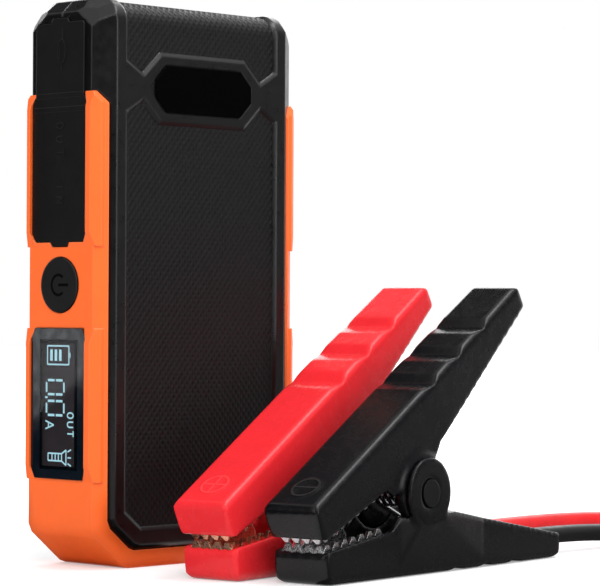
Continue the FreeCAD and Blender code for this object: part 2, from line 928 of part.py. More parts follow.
def make_socket():
    """The two-pole socket and its contact tubes."""
    deep = socket_half_depth
    tall = socket_half_height
    body = box(-bay_face, -socket_back, side_line - deep, side_line + deep, socket_height - tall,
               socket_height + tall)
    pocket = prism(
        "yz",
        [(side_line - deep + 1.0, socket_height - tall + 1.0, 0.6),
         (side_line + deep - 1.0, socket_height - tall + 1.0, 2.4),
         (side_line + deep - 1.0, socket_height + tall - 1.0, 2.4),
         (side_line - deep + 1.0, socket_height + tall - 1.0, 0.6)],
        -FAR, -bay_face + socket_pocket_depth)
    outer = contact_bore_radius + contact_wall
    start = -bay_face + socket_pocket_depth
    seats = [cylinder_x(outer + 0.02, start - 1.0, 0.0, side_line, z) for z in contact_heights()]
    keep("jump_socket", cut(body, [pocket] + seats))
    tubes = []
    for z in contact_heights():
        tube = cylinder_x(outer, start, start + contact_length, side_line, z)
        bore = cylinder_x(contact_bore_radius, start - 1.0, start + contact_length - 1.5,
                          side_line, z)
        tubes.append(tube.cut(bore))
    keep("socket_contacts", Part.makeCompound(tubes))


def usb_port(height):
    """A socket with its metal shell and the tongue inside."""
    mouth = -bay_face + 0.4
    back = mouth + usb_length
    half = usb_half_width
    deep = usb_height / 2
    metal = usb_metal
    shell = box(mouth, back, side_line - deep, side_line + deep, height - half, height + half)
    hollow = box(mouth - 1.0, back - 1.5, side_line - deep + metal, side_line + deep - metal,
                 height - half + metal, height + half - metal)
    tongue_low = side_line + deep - metal - 1.0 - tongue_thickness
    tongue = box(mouth + 1.0, back - 1.0, tongue_low, tongue_low + tongue_thickness,
                 height - half + 1.0, height + half - 1.0)
    return fused([shell.cut(hollow), tongue])


def charge_port():
    """The small round-ended charging socket."""
    mouth = -bay_face + 0.4
    back = mouth + charge_length
    centre = charge_centre()
    half = charge_half_width
    deep = charge_thickness / 2
    wall = usb_metal

    def pill(grow, x0, x1):
        d = deep + grow
        h = half + grow
        r = d - 0.01
        corners = [(centre - d, charge_height - h), (centre + d, charge_height - h)]
        corners += [(centre + d, charge_height + h), (centre - d, charge_height + h)]
        return prism("yz", corners, x0, x1, r)

    shell = pill(0.0, mouth, back)
    hollow = pill(-wall, mouth - 1.0, back - 1.0)
    tongue = box(mouth + 0.8, back - 0.5, centre - 0.35, centre + 0.35, charge_height - half + 1.2,
                 charge_height + half - 1.2)
    return fused([shell.cut(hollow), tongue])


def make_ports():
    keep("usb_port_upper", usb_port(usb_upper_height))
    keep("usb_port_lower", usb_port(usb_lower_height))
    keep("charge_port", charge_port())
    face = side_line + usb_height / 2
    keep("main_board", box(-main_board_outer, -main_board_inner, face, face + board_thickness,
                           main_board_bottom, main_board_top))


def make_display():
    """Window, display and the control board behind them."""
    keep("display_window", prism("yz", window_outline(0.0), -window_face, -window_back))
    module = prism("yz", window_outline(-window_ledge - window_gap), -window_back, -board_face)
    keep("display_module", module)
    half = control_board_half_width
    keep("control_board", box(-board_face, -board_face + board_thickness, side_line - half,
                              side_line + half, window_bottom - control_board_margin,
                              button_height + control_board_over_button))


def make_button():
    """Power button with its retaining flange, and the switch behind it."""
    back = frame_inner - button_rest_gap - button_flange_thickness
    cap = cylinder_x(button_radius, -cover_face, -back, side_line, button_height)
    flange = cylinder_x(button_radius + button_flange, button_rest_gap - frame_inner, -back,
                        side_line, button_height)
    keep("power_button", fused([cap, flange]))
    half = switch_half_width
    body = box(-board_face - switch_height, -board_face, side_line - half, side_line + half,
               button_height - half, button_height + half)
    tip = back - button_travel - 0.05
    plunger = cylinder_x(plunger_radius, -tip, -board_face - switch_height + 0.1, side_line,
                         button_height)
    keep("button_switch", fused([body, plunger]))


def make_cells():
    """Three flat cells between two soft pads, their tabs and the heavy leads."""
    low_x = cell_centre - cell_width / 2
    high_x = cell_centre + cell_width / 2
    top = cell_bottom + cell_length
    first = -1.5 * cell_thickness
    for index, name in enumerate(("cell_front", "cell_middle", "cell_back")):
        y0 = first + index * cell_thickness
        outline = [(low_x, cell_bottom), (high_x, cell_bottom), (high_x, top), (low_x, top)]
        keep(name, prism("xz", outline, y0 + cell_gap, y0 + cell_thickness - cell_gap,
                         cell_corner))
    for sign, name in ((-1, "cell_pad_front"), (1, "cell_pad_back")):
        y0 = sign * (-first - cell_gap)
        y1 = sign * face_inner
        low_z = cell_bottom + pad_end_margin
        high_z = top - pad_end_margin
        outline = [(low_x + pad_side_margin, low_z), (high_x - pad_side_margin, low_z)]
        outline += [(high_x - pad_side_margin, high_z), (low_x + pad_side_margin, high_z)]
        keep(name, prism("xz", outline, min(y0, y1), max(y0, y1)))
    feet = []
    half = tab_half_size
    for x in tab_places():
        for index in range(3):
            y = first + (index + 0.5) * cell_thickness
            feet.append(box(x - half, x + half, y - 1.0, y + 1.0, top, top + tab_height + 0.1))
        feet.append(box(x - half, x + half, first + 2.0, -first - 2.0, top + tab_height,
                        top + tab_height + tab_plate))
    keep("cell_tabs", Part.makeCompound([fused(feet[:4]), fused(feet[4:])]))
    for name, x, z in zip(("lead_positive", "lead_negative"), tab_places(), contact_heights()):
        start = Vector(x, side_line, top + tab_height + tab_plate)
        corner = Vector(x, side_line, z)
        end_x = -bay_face + socket_pocket_depth + contact_length
        finish = Vector(end_x, side_line, z)
        path, _ = routed([start, corner, finish], [lead_bend])
        keep(name, tube(path, start, Vector(0, 0, 1), lead_radius))


def tab_places():
    return (cell_centre + tab_pitch / 2 + 1.0, cell_centre - tab_pitch / 2 + 1.0)


def make_torch():
    """Lens, reflector cup and lamp board in the top end."""
    half = torch_half_width
    deep = torch_half_depth
    top = pack_height + 0.1
    seat = top - torch_lens_thickness
    low = seat - torch_cup_height

    def block(x, y, z0, z1, radius):
        return prism("xy", [(-x, -y), (x, -y), (x, y), (-x, y)], z0, z1, radius)

    keep("torch_lens", block(half, deep, seat, top, 1.5))
    cup = block(half, deep, low, seat, 1.5)
    hollows = []
    for x in (-half / 2, half / 2):
        place = Vector(x, 0, low - 0.01)
        hollows.append(Part.makeCone(1.2, deep - 0.5, torch_cup_height + 0.1, place))
    keep("torch_reflector", cut(cup, hollows))
    keep("torch_board", box(-half, half, -deep - 1.5, deep + 1.5, low - board_thickness, low))


def routed(points, radii=None):
    """A wire of straight runs joined by tangent arcs, and the arcs' radii."""
    edges = []
    here = points[0]
    used = []
    for i in range(1, len(points) - 1):
        back = points[i - 1] - points[i]
        ahead = points[i + 1] - points[i]
        shorter = min(back.Length, ahead.Length)
        back.normalize()
        ahead.normalize()
        half_turn = (math.pi - back.getAngle(ahead)) / 2
        radius = radii[i - 1] if radii else 0.45 * shorter / math.tan(half_turn)
        reach = radius * math.tan(half_turn)
        start = points[i] + back * reach
        finish = points[i] + ahead * reach
        middle = (back + ahead).normalize()
        arc_middle = points[i] + middle * (radius / math.cos(half_turn) - radius)
        edges.append(Part.LineSegment(here, start).toShape())
        edges.append(Part.Arc(start, arc_middle, finish).toShape())
        here = finish
        used.append(radius)
    edges.append(Part.LineSegment(here, points[-1]).toShape())
    return Part.Wire(edges), used


def tube(path, start, direction, radius):
    """A round section drawn along a wire."""
    section = Part.Wire([Part.makeCircle(radius, start, direction)])
    return path.makePipeShell([section], True, False)


def rise_of(sign):
    """The upper half, sign 1, stands a little higher over the pivot than the lower one."""
    return upper_rise if sign > 0 else 0.0


def back_of(sign):
    """Height of a half's outer face over the pivot."""
    return pivot_height + rise_of(sign)


def cavity_of(sign):
    """Height of the channel's floor inside a half."""
    return back_of(sign) - clamp_back


def tail_of(sign):
    return tail_end + (upper_tail_extra if sign > 0 else 0.0)


def grooves_of(sign):
    """A half's finger grooves: the first one's place, pitch, two runs and depth."""
    if sign > 0:
        return (upper_groove_start, upper_groove_pitch, upper_groove_drop, upper_groove_rise,
                upper_groove_depth)
    return (lower_groove_start, lower_groove_pitch, lower_groove_drop, lower_groove_rise,
            lower_groove_depth)


def half_outline(sign):
    """The side view of a clamp half: X along it, height from the pivot outward."""
    back = back_of(sign)
    rise = rise_of(sign)
    tail = tail_of(sign)
    start, pitch, drop, climb, depth = grooves_of(sign)
    edge = [(-nose_top, back, nose_round)]
    for index in range(3):
        place = start + index * pitch
        edge.append((place - drop, back, groove_edge_round))
        edge.append((place, back - depth, groove_low_round))
        edge.append((place + climb, back, groove_crest_round))
    edge.append((tail, back, upper_tail_round if sign > 0 else lower_tail_round))
    inner = [
        (tail, tail_offset + rise, tail_inner_round),
        (neck_start + neck_slant, neck_offset + neck_step + rise, neck_round),
        (neck_start, neck_offset - neck_end_drop, neck_end_round),
        (-wing_start + wing_slant, wing_offset, 0.0),
        (-wing_start, wing_offset, wing_round),
        (-throat_start, throat_offset, throat_round),
        (-nose_mouth, mouth_offset, mouth_round),
    ]
    return edge + inner


def side_view(sign):
    """The outline of a half as corners of its side view."""
    return [(x, sign * z, r) for x, z, r in half_outline(sign)]


def half_section(sign, x, half_width):
    """The cross outline of a half at one X, with bevelled outer edges."""
    back = back_of(sign)
    low = -2 * mouth_offset
    right = [(half_width, low), (half_width, back - edge_bevel), (half_width - edge_bevel, back)]
    points = right + [(-y, z) for y, z in reversed(right)]
    return [Vector(x, y, sign * z) for y, z in points]


def half_block(sign):
    """The outside of a clamp half. The upper half has sign 1, the lower one -1."""
    tail = tail_of(sign)
    body = prism("xz", side_view(sign), -clamp_half, clamp_half)
    sections = [half_section(sign, -nose_mouth - 1.0, clamp_half)]
    sections.append(half_section(sign, taper_start, clamp_half))
    sections.append(half_section(sign, tail, tail_half))
    near = [(-nose_mouth, nose_corner), (taper_start, 0.0), (tail, tail_corner)]
    reach = {-nose_mouth: clamp_half, taper_start: clamp_half, tail: tail_half}
    plan = [(x, -reach[x], r) for x, r in near] + [(x, reach[x], r) for x, r in reversed(near)]
    return body.common(stacked(sections)).common(prism("xy", plan, -FAR, FAR))


def between(sign, low, high):
    """The two heights of a span given from the pivot outward, in rising order."""
    return (low, high) if sign > 0 else (-high, -low)


def half_hollow(sign):
    """The channel inside a clamp half and the pocket of its jaw plate."""
    low, high = between(sign, -2 * mouth_offset, cavity_of(sign))
    end = tail_of(sign) - tail_wall
    channel = box(nose_wall - nose_mouth, end, -cavity_half, cavity_half, low, high)
    low, high = between(sign, -2 * mouth_offset, jaw_base + 0.05)
    pocket = box(-jaw_front - 0.1, -nose_mouth + nose_wall + 1.0, -cavity_half, cavity_half,
                 low, high)
    return [channel, pocket]


def rivet_post(sign):
    """The post inside a half that its jaw plate is riveted to."""
    low, high = between(sign, jaw_base + 0.05, cavity_of(sign) + 0.5)
    return Part.makeCylinder(rivet_post_radius, high - low, Vector(rivet_place, 0, low))


def raised_mark(sign, plus):
    """The raised ring near the nose with its plus or minus bar."""
    low, high = between(sign, back_of(sign) - 0.1, back_of(sign) + ring_proud)
    place = Vector(ring_place, 0, low)
    ring = Part.makeCylinder(ring_radius, high - low, place)
    ring = ring.cut(Part.makeCylinder(ring_radius - ring_width, high - low, place))
    half = ring_radius - ring_width + 0.1
    bars = [box(ring_place - 0.4, ring_place + 0.4, -half, half, low, high)]
    if plus:
        bars.append(box(ring_place - half, ring_place + half, -0.4, 0.4, low, high))
    return [ring] + bars


def upper_shell(plus):
    """The swinging half: its ears carry bosses that turn under the lower half's discs."""
    block = fused([half_block(1), cylinder_y(ear_radius, -clamp_half, clamp_half)])
    shell = cut(block, half_hollow(1))
    parts = [shell, rivet_post(1)] + raised_mark(1, plus)
    for sign in (-1, 1):
        inner = sign * (clamp_half - 0.1)
        outer = sign * boss_face
        parts.append(cylinder_y(ear_radius, min(inner, outer), max(inner, outer)))
        foot = Part.makeCone(ear_radius + boss_foot, ear_radius, boss_height + 0.1,
                             Vector(0, inner, 0), Vector(0, sign, 0))
        parts.append(foot.common(prism("xz", side_view(1), -boss_face, boss_face)))
    shell = fused(parts)
    tools = [cylinder_y(pin_radius + pin_gap, -FAR, FAR), rivet_hole(1)]
    return cut(shell, tools)


def rivet_hole(sign):
    low, high = between(sign, 0.0, jaw_base + 3.0)
    return Part.makeCylinder(rivet_radius + 0.02, high - low, Vector(rivet_place, 0, low))


def disc(side_sign):
    """The outer disc of a lower ear, with its bevelled rim."""
    straight = disc_thickness - disc_bevel
    axis = Vector(0, side_sign, 0)
    place = Vector(0, side_sign * disc_inner, 0)
    rim = Vector(0, side_sign * (disc_inner + straight), 0)
    body = Part.makeCylinder(disc_radius, straight, place, axis)
    top = Part.makeCone(disc_radius, disc_radius - disc_bevel, disc_bevel, rim, axis)
    return body.fuse(top)


def ramp(side_sign):
    """The shoulder that carries a disc out of the lower half's wall."""
    inner = clamp_half - 0.25
    outline = [(inner, -ramp_foot - 0.5), (clamp_half, -ramp_foot), (disc_face, -ramp_crest)]
    outline += [(disc_face, -wing_offset + 0.4), (inner, -wing_offset + 0.4)]
    upright = prism("yz", [(side_sign * y, z) for y, z in outline], -FAR, FAR)
    outline = [(ramp_start, inner), (ramp_start, clamp_half), (ramp_flat_start, disc_face)]
    outline += [(ramp_flat_end, disc_face), (ramp_end, clamp_half), (ramp_end, inner)]
    plan = prism("xy", [(x, side_sign * y) for x, y in outline], -FAR, FAR)
    return upright.common(plan).common(prism("xz", side_view(-1), -disc_face, disc_face))


def lower_shell():
    """The half that lies on the table: its discs stand outside the upper half's ears."""
    shell = cut(half_block(-1), half_hollow(-1))
    shell = fused([shell, rivet_post(-1)])
    ears = [ramp(-1), ramp(1)]
    clear = cylinder_y(ear_radius + ear_gap, -disc_inner, disc_inner)
    shell = cut(fused([shell] + ears), [clear])
    shell = fused([shell, disc(-1), disc(1)])
    tools = [cylinder_y(pin_radius + 0.02, -FAR, FAR), rivet_hole(-1)]
    seat = disc_face - pin_head_seat
    seat_radius = pin_head_radius + pin_head_gap
    tools.append(cylinder_y(seat_radius, seat, FAR))
    tools.append(cylinder_y(seat_radius, -FAR, -seat))
    slot = lead_wire_radius + lead_slot_gap
    height = lead_height_in_tail - pivot_height
    tools.append(cylinder_x(slot, tail_end - tail_wall - 1.0, FAR, 0.0, height))
    tools.append(box(tail_end - tail_wall - 1.0, FAR, -slot, slot, height, 0.0))
    return cut(shell, tools)


def jaw_tip_front():
    """Height of the tooth tips at the nose, half the tip gap short of the closing plane."""
    half = math.radians(jaw_angle / 2)
    return jaw_front * math.tan(half) + jaw_tip_gap / 2 / math.cos(half) + 0.15


def jaw_plate(sign, with_barrel):
    """A folded plate with teeth along its front and both sides."""
    rear = -jaw_front + jaw_length
    tip_front = jaw_tip_front()
    slope = (jaw_tip_rear - tip_front) / (jaw_length - 2.0)
    base = jaw_base - jaw_metal
    low, high = between(sign, base, jaw_base)
    plate = box(-jaw_front, rear, -jaw_half_width, jaw_half_width, low, high)
    pitch = (jaw_length - 2.0) / side_teeth
    teeth = [(-jaw_front, jaw_base)]
    teeth.append((-jaw_front, tip_front + tooth_height))
    for index in range(side_teeth):
        x = -jaw_front + index * pitch
        tip = tip_front + slope * (index + 0.5) * pitch
        gum = tip_front + tooth_height + slope * (index + 1) * pitch
        teeth.append((x + 0.35 * pitch, tip))
        teeth.append((x + 0.65 * pitch, tip))
        teeth.append((x + pitch, gum))
    teeth.append((rear, jaw_base - jaw_metal - 1.0))
    teeth.append((rear, jaw_base))
    rims = []
    for side_sign in (-1, 1):
        y0 = side_sign * (jaw_half_width - jaw_metal)
        y1 = side_sign * jaw_half_width
        rims.append(prism("xz", [(x, sign * z) for x, z in teeth], min(y0, y1), max(y0, y1)))
    width = 2 * jaw_half_width
    pitch = width / front_teeth
    row = [(-jaw_half_width, jaw_base), (-jaw_half_width, tip_front + tooth_height)]
    for index in range(front_teeth):
        y = -jaw_half_width + index * pitch
        row.append((y + 0.35 * pitch, tip_front))
        row.append((y + 0.65 * pitch, tip_front))
        row.append((y + pitch, tip_front + tooth_height))
    row.append((jaw_half_width, jaw_base))
    rims.append(prism("yz", [(y, sign * z) for y, z in row], -jaw_front, -jaw_front + jaw_metal))
    parts = [plate] + rims
    if with_barrel:
        height = lead_height_in_tail - pivot_height
        parts.append(cylinder_x(barrel_radius, rear - 0.5, rear + barrel_length, 0.0, height))
    hole = Part.makeCylinder(rivet_radius + 0.02, 2 * FAR, Vector(rivet_place, 0, -FAR))
    return cut(fused(parts), [hole])


def rivet(sign):
    """The rivet of a jaw plate, its head on the plate's inner face."""
    base = jaw_base - jaw_metal
    low, high = between(sign, base - rivet_head_thickness, base)
    head = Part.makeCylinder(rivet_head_radius, high - low, Vector(rivet_place, 0, low))
    low, high = between(sign, base - 0.1, jaw_base + 2.8)
    shaft = Part.makeCylinder(rivet_radius, high - low, Vector(rivet_place, 0, low))
    return fused([head, shaft])


def pivot_pin():
    """The pin with its two flat heads."""
    seat = disc_face - pin_head_seat
    shaft = cylinder_y(pin_radius, -seat, seat)
    heads = [cylinder_y(pin_head_radius, seat, seat + pin_head_thickness)]
    heads.append(cylinder_y(pin_head_radius, -seat - pin_head_thickness, -seat))
    return fused([shaft] + heads)


def biarc(p0, t0, p1, t1):
    """Two arcs from p0 to p1 that leave and arrive along t0 and t1."""
    chord = p1 - p0
    both = t0 + t1
    spread = 2 * (1 - t0.dot(t1))
    reach = (-chord.dot(both) + math.sqrt(chord.dot(both) ** 2 + spread * chord.dot(chord))) / spread
    q0 = p0 + t0 * reach
    q1 = p1 - t1 * reach
    joint = (q0 + q1) * 0.5
    edges = []
    for a, control, b in ((p0, q0, joint), (joint, q1, p1)):
        weight = a.distanceToPoint(b) / 2 / a.distanceToPoint(control)
        middle = ((a + b) * 0.5 + control * weight) * (1 / (1 + weight))
        edges.append(Part.Arc(a, middle, b).toShape())
    return edges


def torsion_spring(name):
    """A wound wire round the pin with a straight leg into each half."""

    def leg_of(sign):
        offset = cavity_of(sign) - wire_radius - 0.3
        distance = math.hypot(leg_reach, offset)
        lean = math.degrees(math.atan2(offset, leg_reach))
        tangent = math.degrees(math.acos(coil_radius / distance))
        return lean + tangent, math.sqrt(distance ** 2 - coil_radius ** 2)

    lower_angle, lower_leg = leg_of(-1)
    upper_angle, upper_leg = leg_of(1)
    start = -lower_angle
    finish = jaw_angle + upper_angle - 360.0 * (coil_turns + 1)
    turned = start - finish
    half_length = coil_pitch * turned / 360.0 / 2

    def place(angle):
        share = (start - angle) / turned
        a = math.radians(angle)
        return Vector(coil_radius * math.cos(a), half_length * (1 - 2 * share),
                      coil_radius * math.sin(a))

    def heading(angle):
        a = math.radians(angle)
        rise = 0.0
        if finish + 1e-6 < angle < start - 1e-6:
            rise = -2 * half_length / math.radians(turned)
        return Vector(coil_radius * math.sin(a), rise, -coil_radius * math.cos(a)).normalize()

    quarters = int(math.ceil(turned / 90.0))
    angles = [start - turned * i / quarters for i in range(quarters + 1)]
    first = place(start)
    last = place(finish)
    leg_start = first - heading(start) * lower_leg
    leg_finish = last + heading(finish) * upper_leg
    edges = [Part.LineSegment(leg_start, first).toShape()]
    for a, b in zip(angles, angles[1:]):
        edges += biarc(place(a), heading(a), place(b), heading(b))
    edges.append(Part.LineSegment(last, leg_finish).toShape())
    path = Part.Wire(edges)
    spring = tube(path, leg_start, heading(start), wire_radius)
    points = path.discretize(Number=900)
    gap = least_gap(points, 6 * wire_radius, wire_radius)
    print(f"{name}: {turned / 360:.2f} turns, least gap to itself {gap:.2f} mm")
    return spring


def least_gap(points, apart, radius):
    """The least clear distance between stretches of a wire that lie apart along it."""
    step = points[0].distanceToPoint(points[1])
    skip = int(apart / step) + 1
    least = 1e9
    for i in range(0, len(points), 2):
        for j in range(i + skip, len(points), 2):
            least = min(least, points[i].distanceToPoint(points[j]))
    return least - 2 * radius


def inner_lead():
    """The end of the lead inside the lower half, from the barrel to the tail."""
    start = -jaw_front + jaw_length + barrel_length
    height = lead_height_in_tail - pivot_height
    return cylinder_x(lead_wire_radius, start, lead_start, 0.0, height)


def set_down(shape, place, lifted):
    """Moves a clamp piece from its own frame to its place on the table."""
    moved = shape.copy()
    if lifted:
        moved.rotate(Vector(0, 0, 0), Vector(0, 1, 0), -jaw_angle)
    moved.rotate(Vector(0, 0, 0), Vector(0, 0, 1), place[2])
    moved.translate(Vector(place[0], place[1], pivot_height))
    return moved


def make_clamp(colour, place, plus):
    """All the pieces of one clamp."""
    keep(f"{colour}_lower_shell", set_down(lower_shell(), place, False))
    keep(f"{colour}_upper_shell", set_down(upper_shell(plus), place, True))
    keep(f"{colour}_lower_jaw", set_down(jaw_plate(-1, True), place, False))
    keep(f"{colour}_upper_jaw", set_down(jaw_plate(1, False), place, True))
    keep(f"{colour}_lower_rivet", set_down(rivet(-1), place, False))
    keep(f"{colour}_upper_rivet", set_down(rivet(1), place, True))
    keep(f"{colour}_pivot_pin", set_down(pivot_pin(), place, False))
    keep(f"{colour}_spring", set_down(torsion_spring(f"{colour}_spring"), place, False))
    keep(f"{colour}_inner_lead", set_down(inner_lead(), place, False))


def lead_exit(place):
    """Where the free lead begins inside the tail, and the way it points."""
    heading = math.radians(place[2])
    along = Vector(math.cos(heading), math.sin(heading), 0)
    start = Vector(place[0], place[1], lead_height_in_tail) + along * lead_start
    return start, along


def make_lead(name, place, route, plug_side):
    """A free lead from a clamp's tail to the plug, as a tube of runs and arcs."""
    start, along = lead_exit(place)
    entry = Vector(plug_x + plug_length + boot_length, plug_y + plug_side * plug_lead_pitch / 2,
                   plug_half_height)
    points = [start, start + along * lead_first_run] + [Vector(*p) for p in route]
    points += [entry + Vector(lead_last_run, 0, 0), entry]
    path, radii = routed(points)
    lead = tube(path, start, points[1] - points[0], lead_wire_radius)
    expected = math.pi * lead_wire_radius ** 2 * path.Length
    rounded = ", ".join(f"{r:.0f}" for r in radii)
    print(f"{name}: {path.Length:.0f} mm long, radii {rounded}")
    print(f"{name}: volume over section times length {lead.Volume / expected:.4f}")
    keep(name, lead)


def make_plug():
    """The two-pole plug, its boot and its pins, lying on the table."""
    wide = plug_half_width
    high = plug_half_height
    x0 = plug_x
    x1 = plug_x + plug_length

    def block(a, b, inset):
        w = wide - inset
        h = high - inset
        outline = [(plug_y - w, high - h), (plug_y + w, high - h), (plug_y + w, high + h)]
        outline += [(plug_y - w, high + h)]
        return prism("yz", outline, a, b, 2.0)

    body = fused([block(x0 + plug_nose_length, x1, 0.0), block(x0, x1, plug_nose_inset)])
    pins = []
    holes = []
    for sign in (-1, 1):
        y = plug_y + sign * plug_lead_pitch / 2
        pins.append(cylinder_x(plug_pin_radius, x0 - plug_pin_length, x0 + 6.0, y, high))
        holes.append(cylinder_x(plug_pin_radius + 0.01, x0 - 1.0, x0 + 6.0, y, high))
    keep("plug_body", cut(body, holes))
    keep("plug_pins", Part.makeCompound(pins))
    cones = []
    for sign in (-1, 1):
        place = Vector(x1, plug_y + sign * plug_lead_pitch / 2, high)
        cones.append(Part.makeCone(boot_front_radius, boot_rear_radius, boot_length, place,
                                   Vector(1, 0, 0)))
    keep("plug_boot", fused(cones))


def make_all():
    make_housing()
    make_panels()
    make_screws()
    make_cover()
    make_bay()
    make_socket()
    make_ports()
    make_display()
    make_button()
    make_cells()
    make_torch()
    make_clamp("black", black_place, False)
    make_clamp("red", red_place, True)
    make_lead("black_lead", black_place, black_route, 1)
    make_lead("red_lead", red_place, red_route, -1)
    make_plug()


def write_all():
    os.makedirs("parts", exist_ok=True)
    for name, shape in nodes.items():
        shape.exportStep(os.path.join("parts", f"{name}.step"))
        if not shape.isValid():
            print(f"{name} is not valid")
        print(f"{name}: {len(shape.Solids)} solid, {shape.Volume:.0f} mm3")


make_all()
write_all()
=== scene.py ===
"""Looks of a jump starter pack with two spring clamps on short leads.

Everything is in metres, in the frame of the solids: the pack stands on its base at the origin,
its front faces -Y and the side with the ports faces -X.
"""
import math

import bmesh
import bpy
import numpy as np
from bpy.props import FloatProperty, FloatVectorProperty, IntProperty, PointerProperty
from mathutils import Matrix, Vector


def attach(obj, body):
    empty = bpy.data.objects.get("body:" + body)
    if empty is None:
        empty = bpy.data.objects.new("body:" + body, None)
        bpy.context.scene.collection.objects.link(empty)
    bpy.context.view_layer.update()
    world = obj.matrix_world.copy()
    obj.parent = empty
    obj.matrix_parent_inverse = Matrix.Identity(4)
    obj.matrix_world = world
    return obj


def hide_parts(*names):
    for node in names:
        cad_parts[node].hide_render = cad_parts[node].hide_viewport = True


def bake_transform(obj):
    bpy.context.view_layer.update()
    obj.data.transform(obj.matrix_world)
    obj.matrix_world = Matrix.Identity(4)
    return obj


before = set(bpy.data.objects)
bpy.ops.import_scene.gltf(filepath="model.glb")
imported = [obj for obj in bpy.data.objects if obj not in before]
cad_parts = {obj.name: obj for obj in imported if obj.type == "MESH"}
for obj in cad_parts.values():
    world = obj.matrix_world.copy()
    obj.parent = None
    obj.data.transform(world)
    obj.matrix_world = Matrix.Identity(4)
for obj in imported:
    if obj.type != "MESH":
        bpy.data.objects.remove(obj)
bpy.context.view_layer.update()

bl_info = {
    "name": "Jump starter pack",
    "version": (1, 0, 0),
    "blender": (4, 5, 0),
    "location": "View3D > Sidebar > Jump starter",
    "description": "Dresses a jump starter pack and its clamps",
    "category": "Object",
}

MM = 0.001

# Sizes of the solids that the pieces here follow, in millimetres
PACK_FRONT = 19.65
PACK_HEIGHT = 186.7
TOP_ROLL = 8.0
PANEL_FACE = 18.85
SIDE_LINE = 0.4
PIVOT_HEIGHT = 26.45
# Each clamp's pivot on the table and its heading in degrees
CLAMP_PLACES = {"black": (21.9, -87.6, 6.2), "red": (10.5, -57.8, 7.4)}


# settings
def colour_setting(name, description, default):
    """A colour that a user may change."""
    return FloatVectorProperty(name=name, description=description, default=default, size=3,
                               subtype="COLOR", min=0.0, max=1.0)


def length_setting(name, description, default):
    """A length that a user may change, its default given in millimetres."""
    return FloatProperty(name=name, description=description, default=default * MM, unit="LENGTH",
                         precision=5)


def power_setting(name, description, default):
    """A lamp's power in watts."""
    return FloatProperty(name=name, description=description, default=default, unit="POWER")


class CameraSettings(bpy.types.PropertyGroup):
    """Where the photograph was taken from."""
    place: FloatVectorProperty(name="Place", description="Where the lens stands", size=3,
                               default=(-0.6311, -0.6791, 0.0848), unit="LENGTH")
    heading: FloatProperty(name="Heading", description="Turn to the right of straight ahead",
                           default=math.radians(45.788), unit="ROTATION")
    tilt: FloatProperty(name="Tilt", description="Upward tilt", default=math.radians(0.370),
                        unit="ROTATION")
    roll: FloatProperty(name="Roll", description="Turn about the line of sight",
                        default=math.radians(0.265), unit="ROTATION")
    lens: FloatProperty(name="Lens", description="Focal length on a 36 mm wide sensor",
                        default=163.24, unit="CAMERA")


class StudioSettings(bpy.types.PropertyGroup):
    """Table, soft lights and the dark cards that the gloss shows."""
    sky_level: FloatProperty(name="Sky", description="Light from all round", default=0.6)
    top_power: power_setting("Top light", "Softbox overhead", 5.0)
    key_power: power_setting("Key light", "Softbox high over the near corner", 8.0)
    front_power: power_setting("Front light", "Softbox before the front", 5.0)
    side_power: power_setting("Side light", "Softbox before the ports", 3.0)
    back_power: power_setting("Back light", "Softbox behind, for the rims", 8.0)
    table: colour_setting("Table", "Pale table", (0.74, 0.74, 0.745))
    card: colour_setting("Card", "Dark cards that only gloss shows", (0.01, 0.01, 0.01))
    front_card: colour_setting("Front card", "Grey card before the front", (0.2, 0.2, 0.2))


class HousingSettings(bpy.types.PropertyGroup):
    """The moulded housing, its orange frame and the badge."""
    black: colour_setting("Black", "Moulded housing", (0.0028, 0.0028, 0.0031))
    orange: colour_setting("Orange", "Frame round the sides and the bottom", (0.97, 0.143, 0.02))
    # A painted highlight along the frame's edges
    orange_edge_highlight: colour_setting("Orange edge", "Worn edges of the frame", (1.0, 0.24, 0.08))
    # A painted highlight along the housing's edges
    rim_highlight: colour_setting("Rim", "Polished edges of the housing", (0.05, 0.05, 0.052))
    badge: colour_setting("Badge", "Bare glossy badge", (0.0004, 0.0004, 0.0005))
    edge: length_setting("Edge", "Softness of the moulded edges", 0.8)
    foot: length_setting("Foot", "Softness of the frame's lower corners", 8.0)


class PanelSettings(bpy.types.PropertyGroup):
    """The textured panels on the front and the back."""
    across: IntProperty(name="Diamonds across", description="Count over a panel's width",
                        default=27, min=4)
    rise: length_setting("Rise", "Height of one diamond", 3.0)
    depth: length_setting("Depth", "How far the diamonds are sunk", 0.14)
    colour: colour_setting("Colour", "Panel rubber", (0.0036, 0.0036, 0.0039))
    # Painted shade in the diamonds' pits, darker than the rubber
    pit_shade: colour_setting("Pit", "Ground of the diamonds", (0.0014, 0.0014, 0.0016))


class CoverSettings(bpy.types.PropertyGroup):
    """The rubber cover over the ports and its raised marks."""
    colour: colour_setting("Colour", "Cover rubber", (0.0042, 0.0042, 0.0045))
    # A painted highlight along the cover's edges
    rim_highlight: colour_setting("Rim", "Edges of the cover", (0.03, 0.03, 0.031))
    mark: colour_setting("Mark", "Raised marks", (0.011, 0.011, 0.0115))
    mark_width: length_setting("Mark width", "Width of the marks' lines", 0.42)
    mark_rise: length_setting("Mark rise", "Height of the marks", 0.15)


class ButtonSettings(bpy.types.PropertyGroup):
    """The power button and its sign."""
    plastic: colour_setting("Plastic", "Button cap", (0.0075, 0.0075, 0.008))
    # Dark strips stand in for the shade in the button's engraved sign
    sign: colour_setting("Sign", "Dark sign on the button", (0.0015, 0.0015, 0.0015))
    sign_width: length_setting("Sign width", "Width of the sign's lines", 0.95)


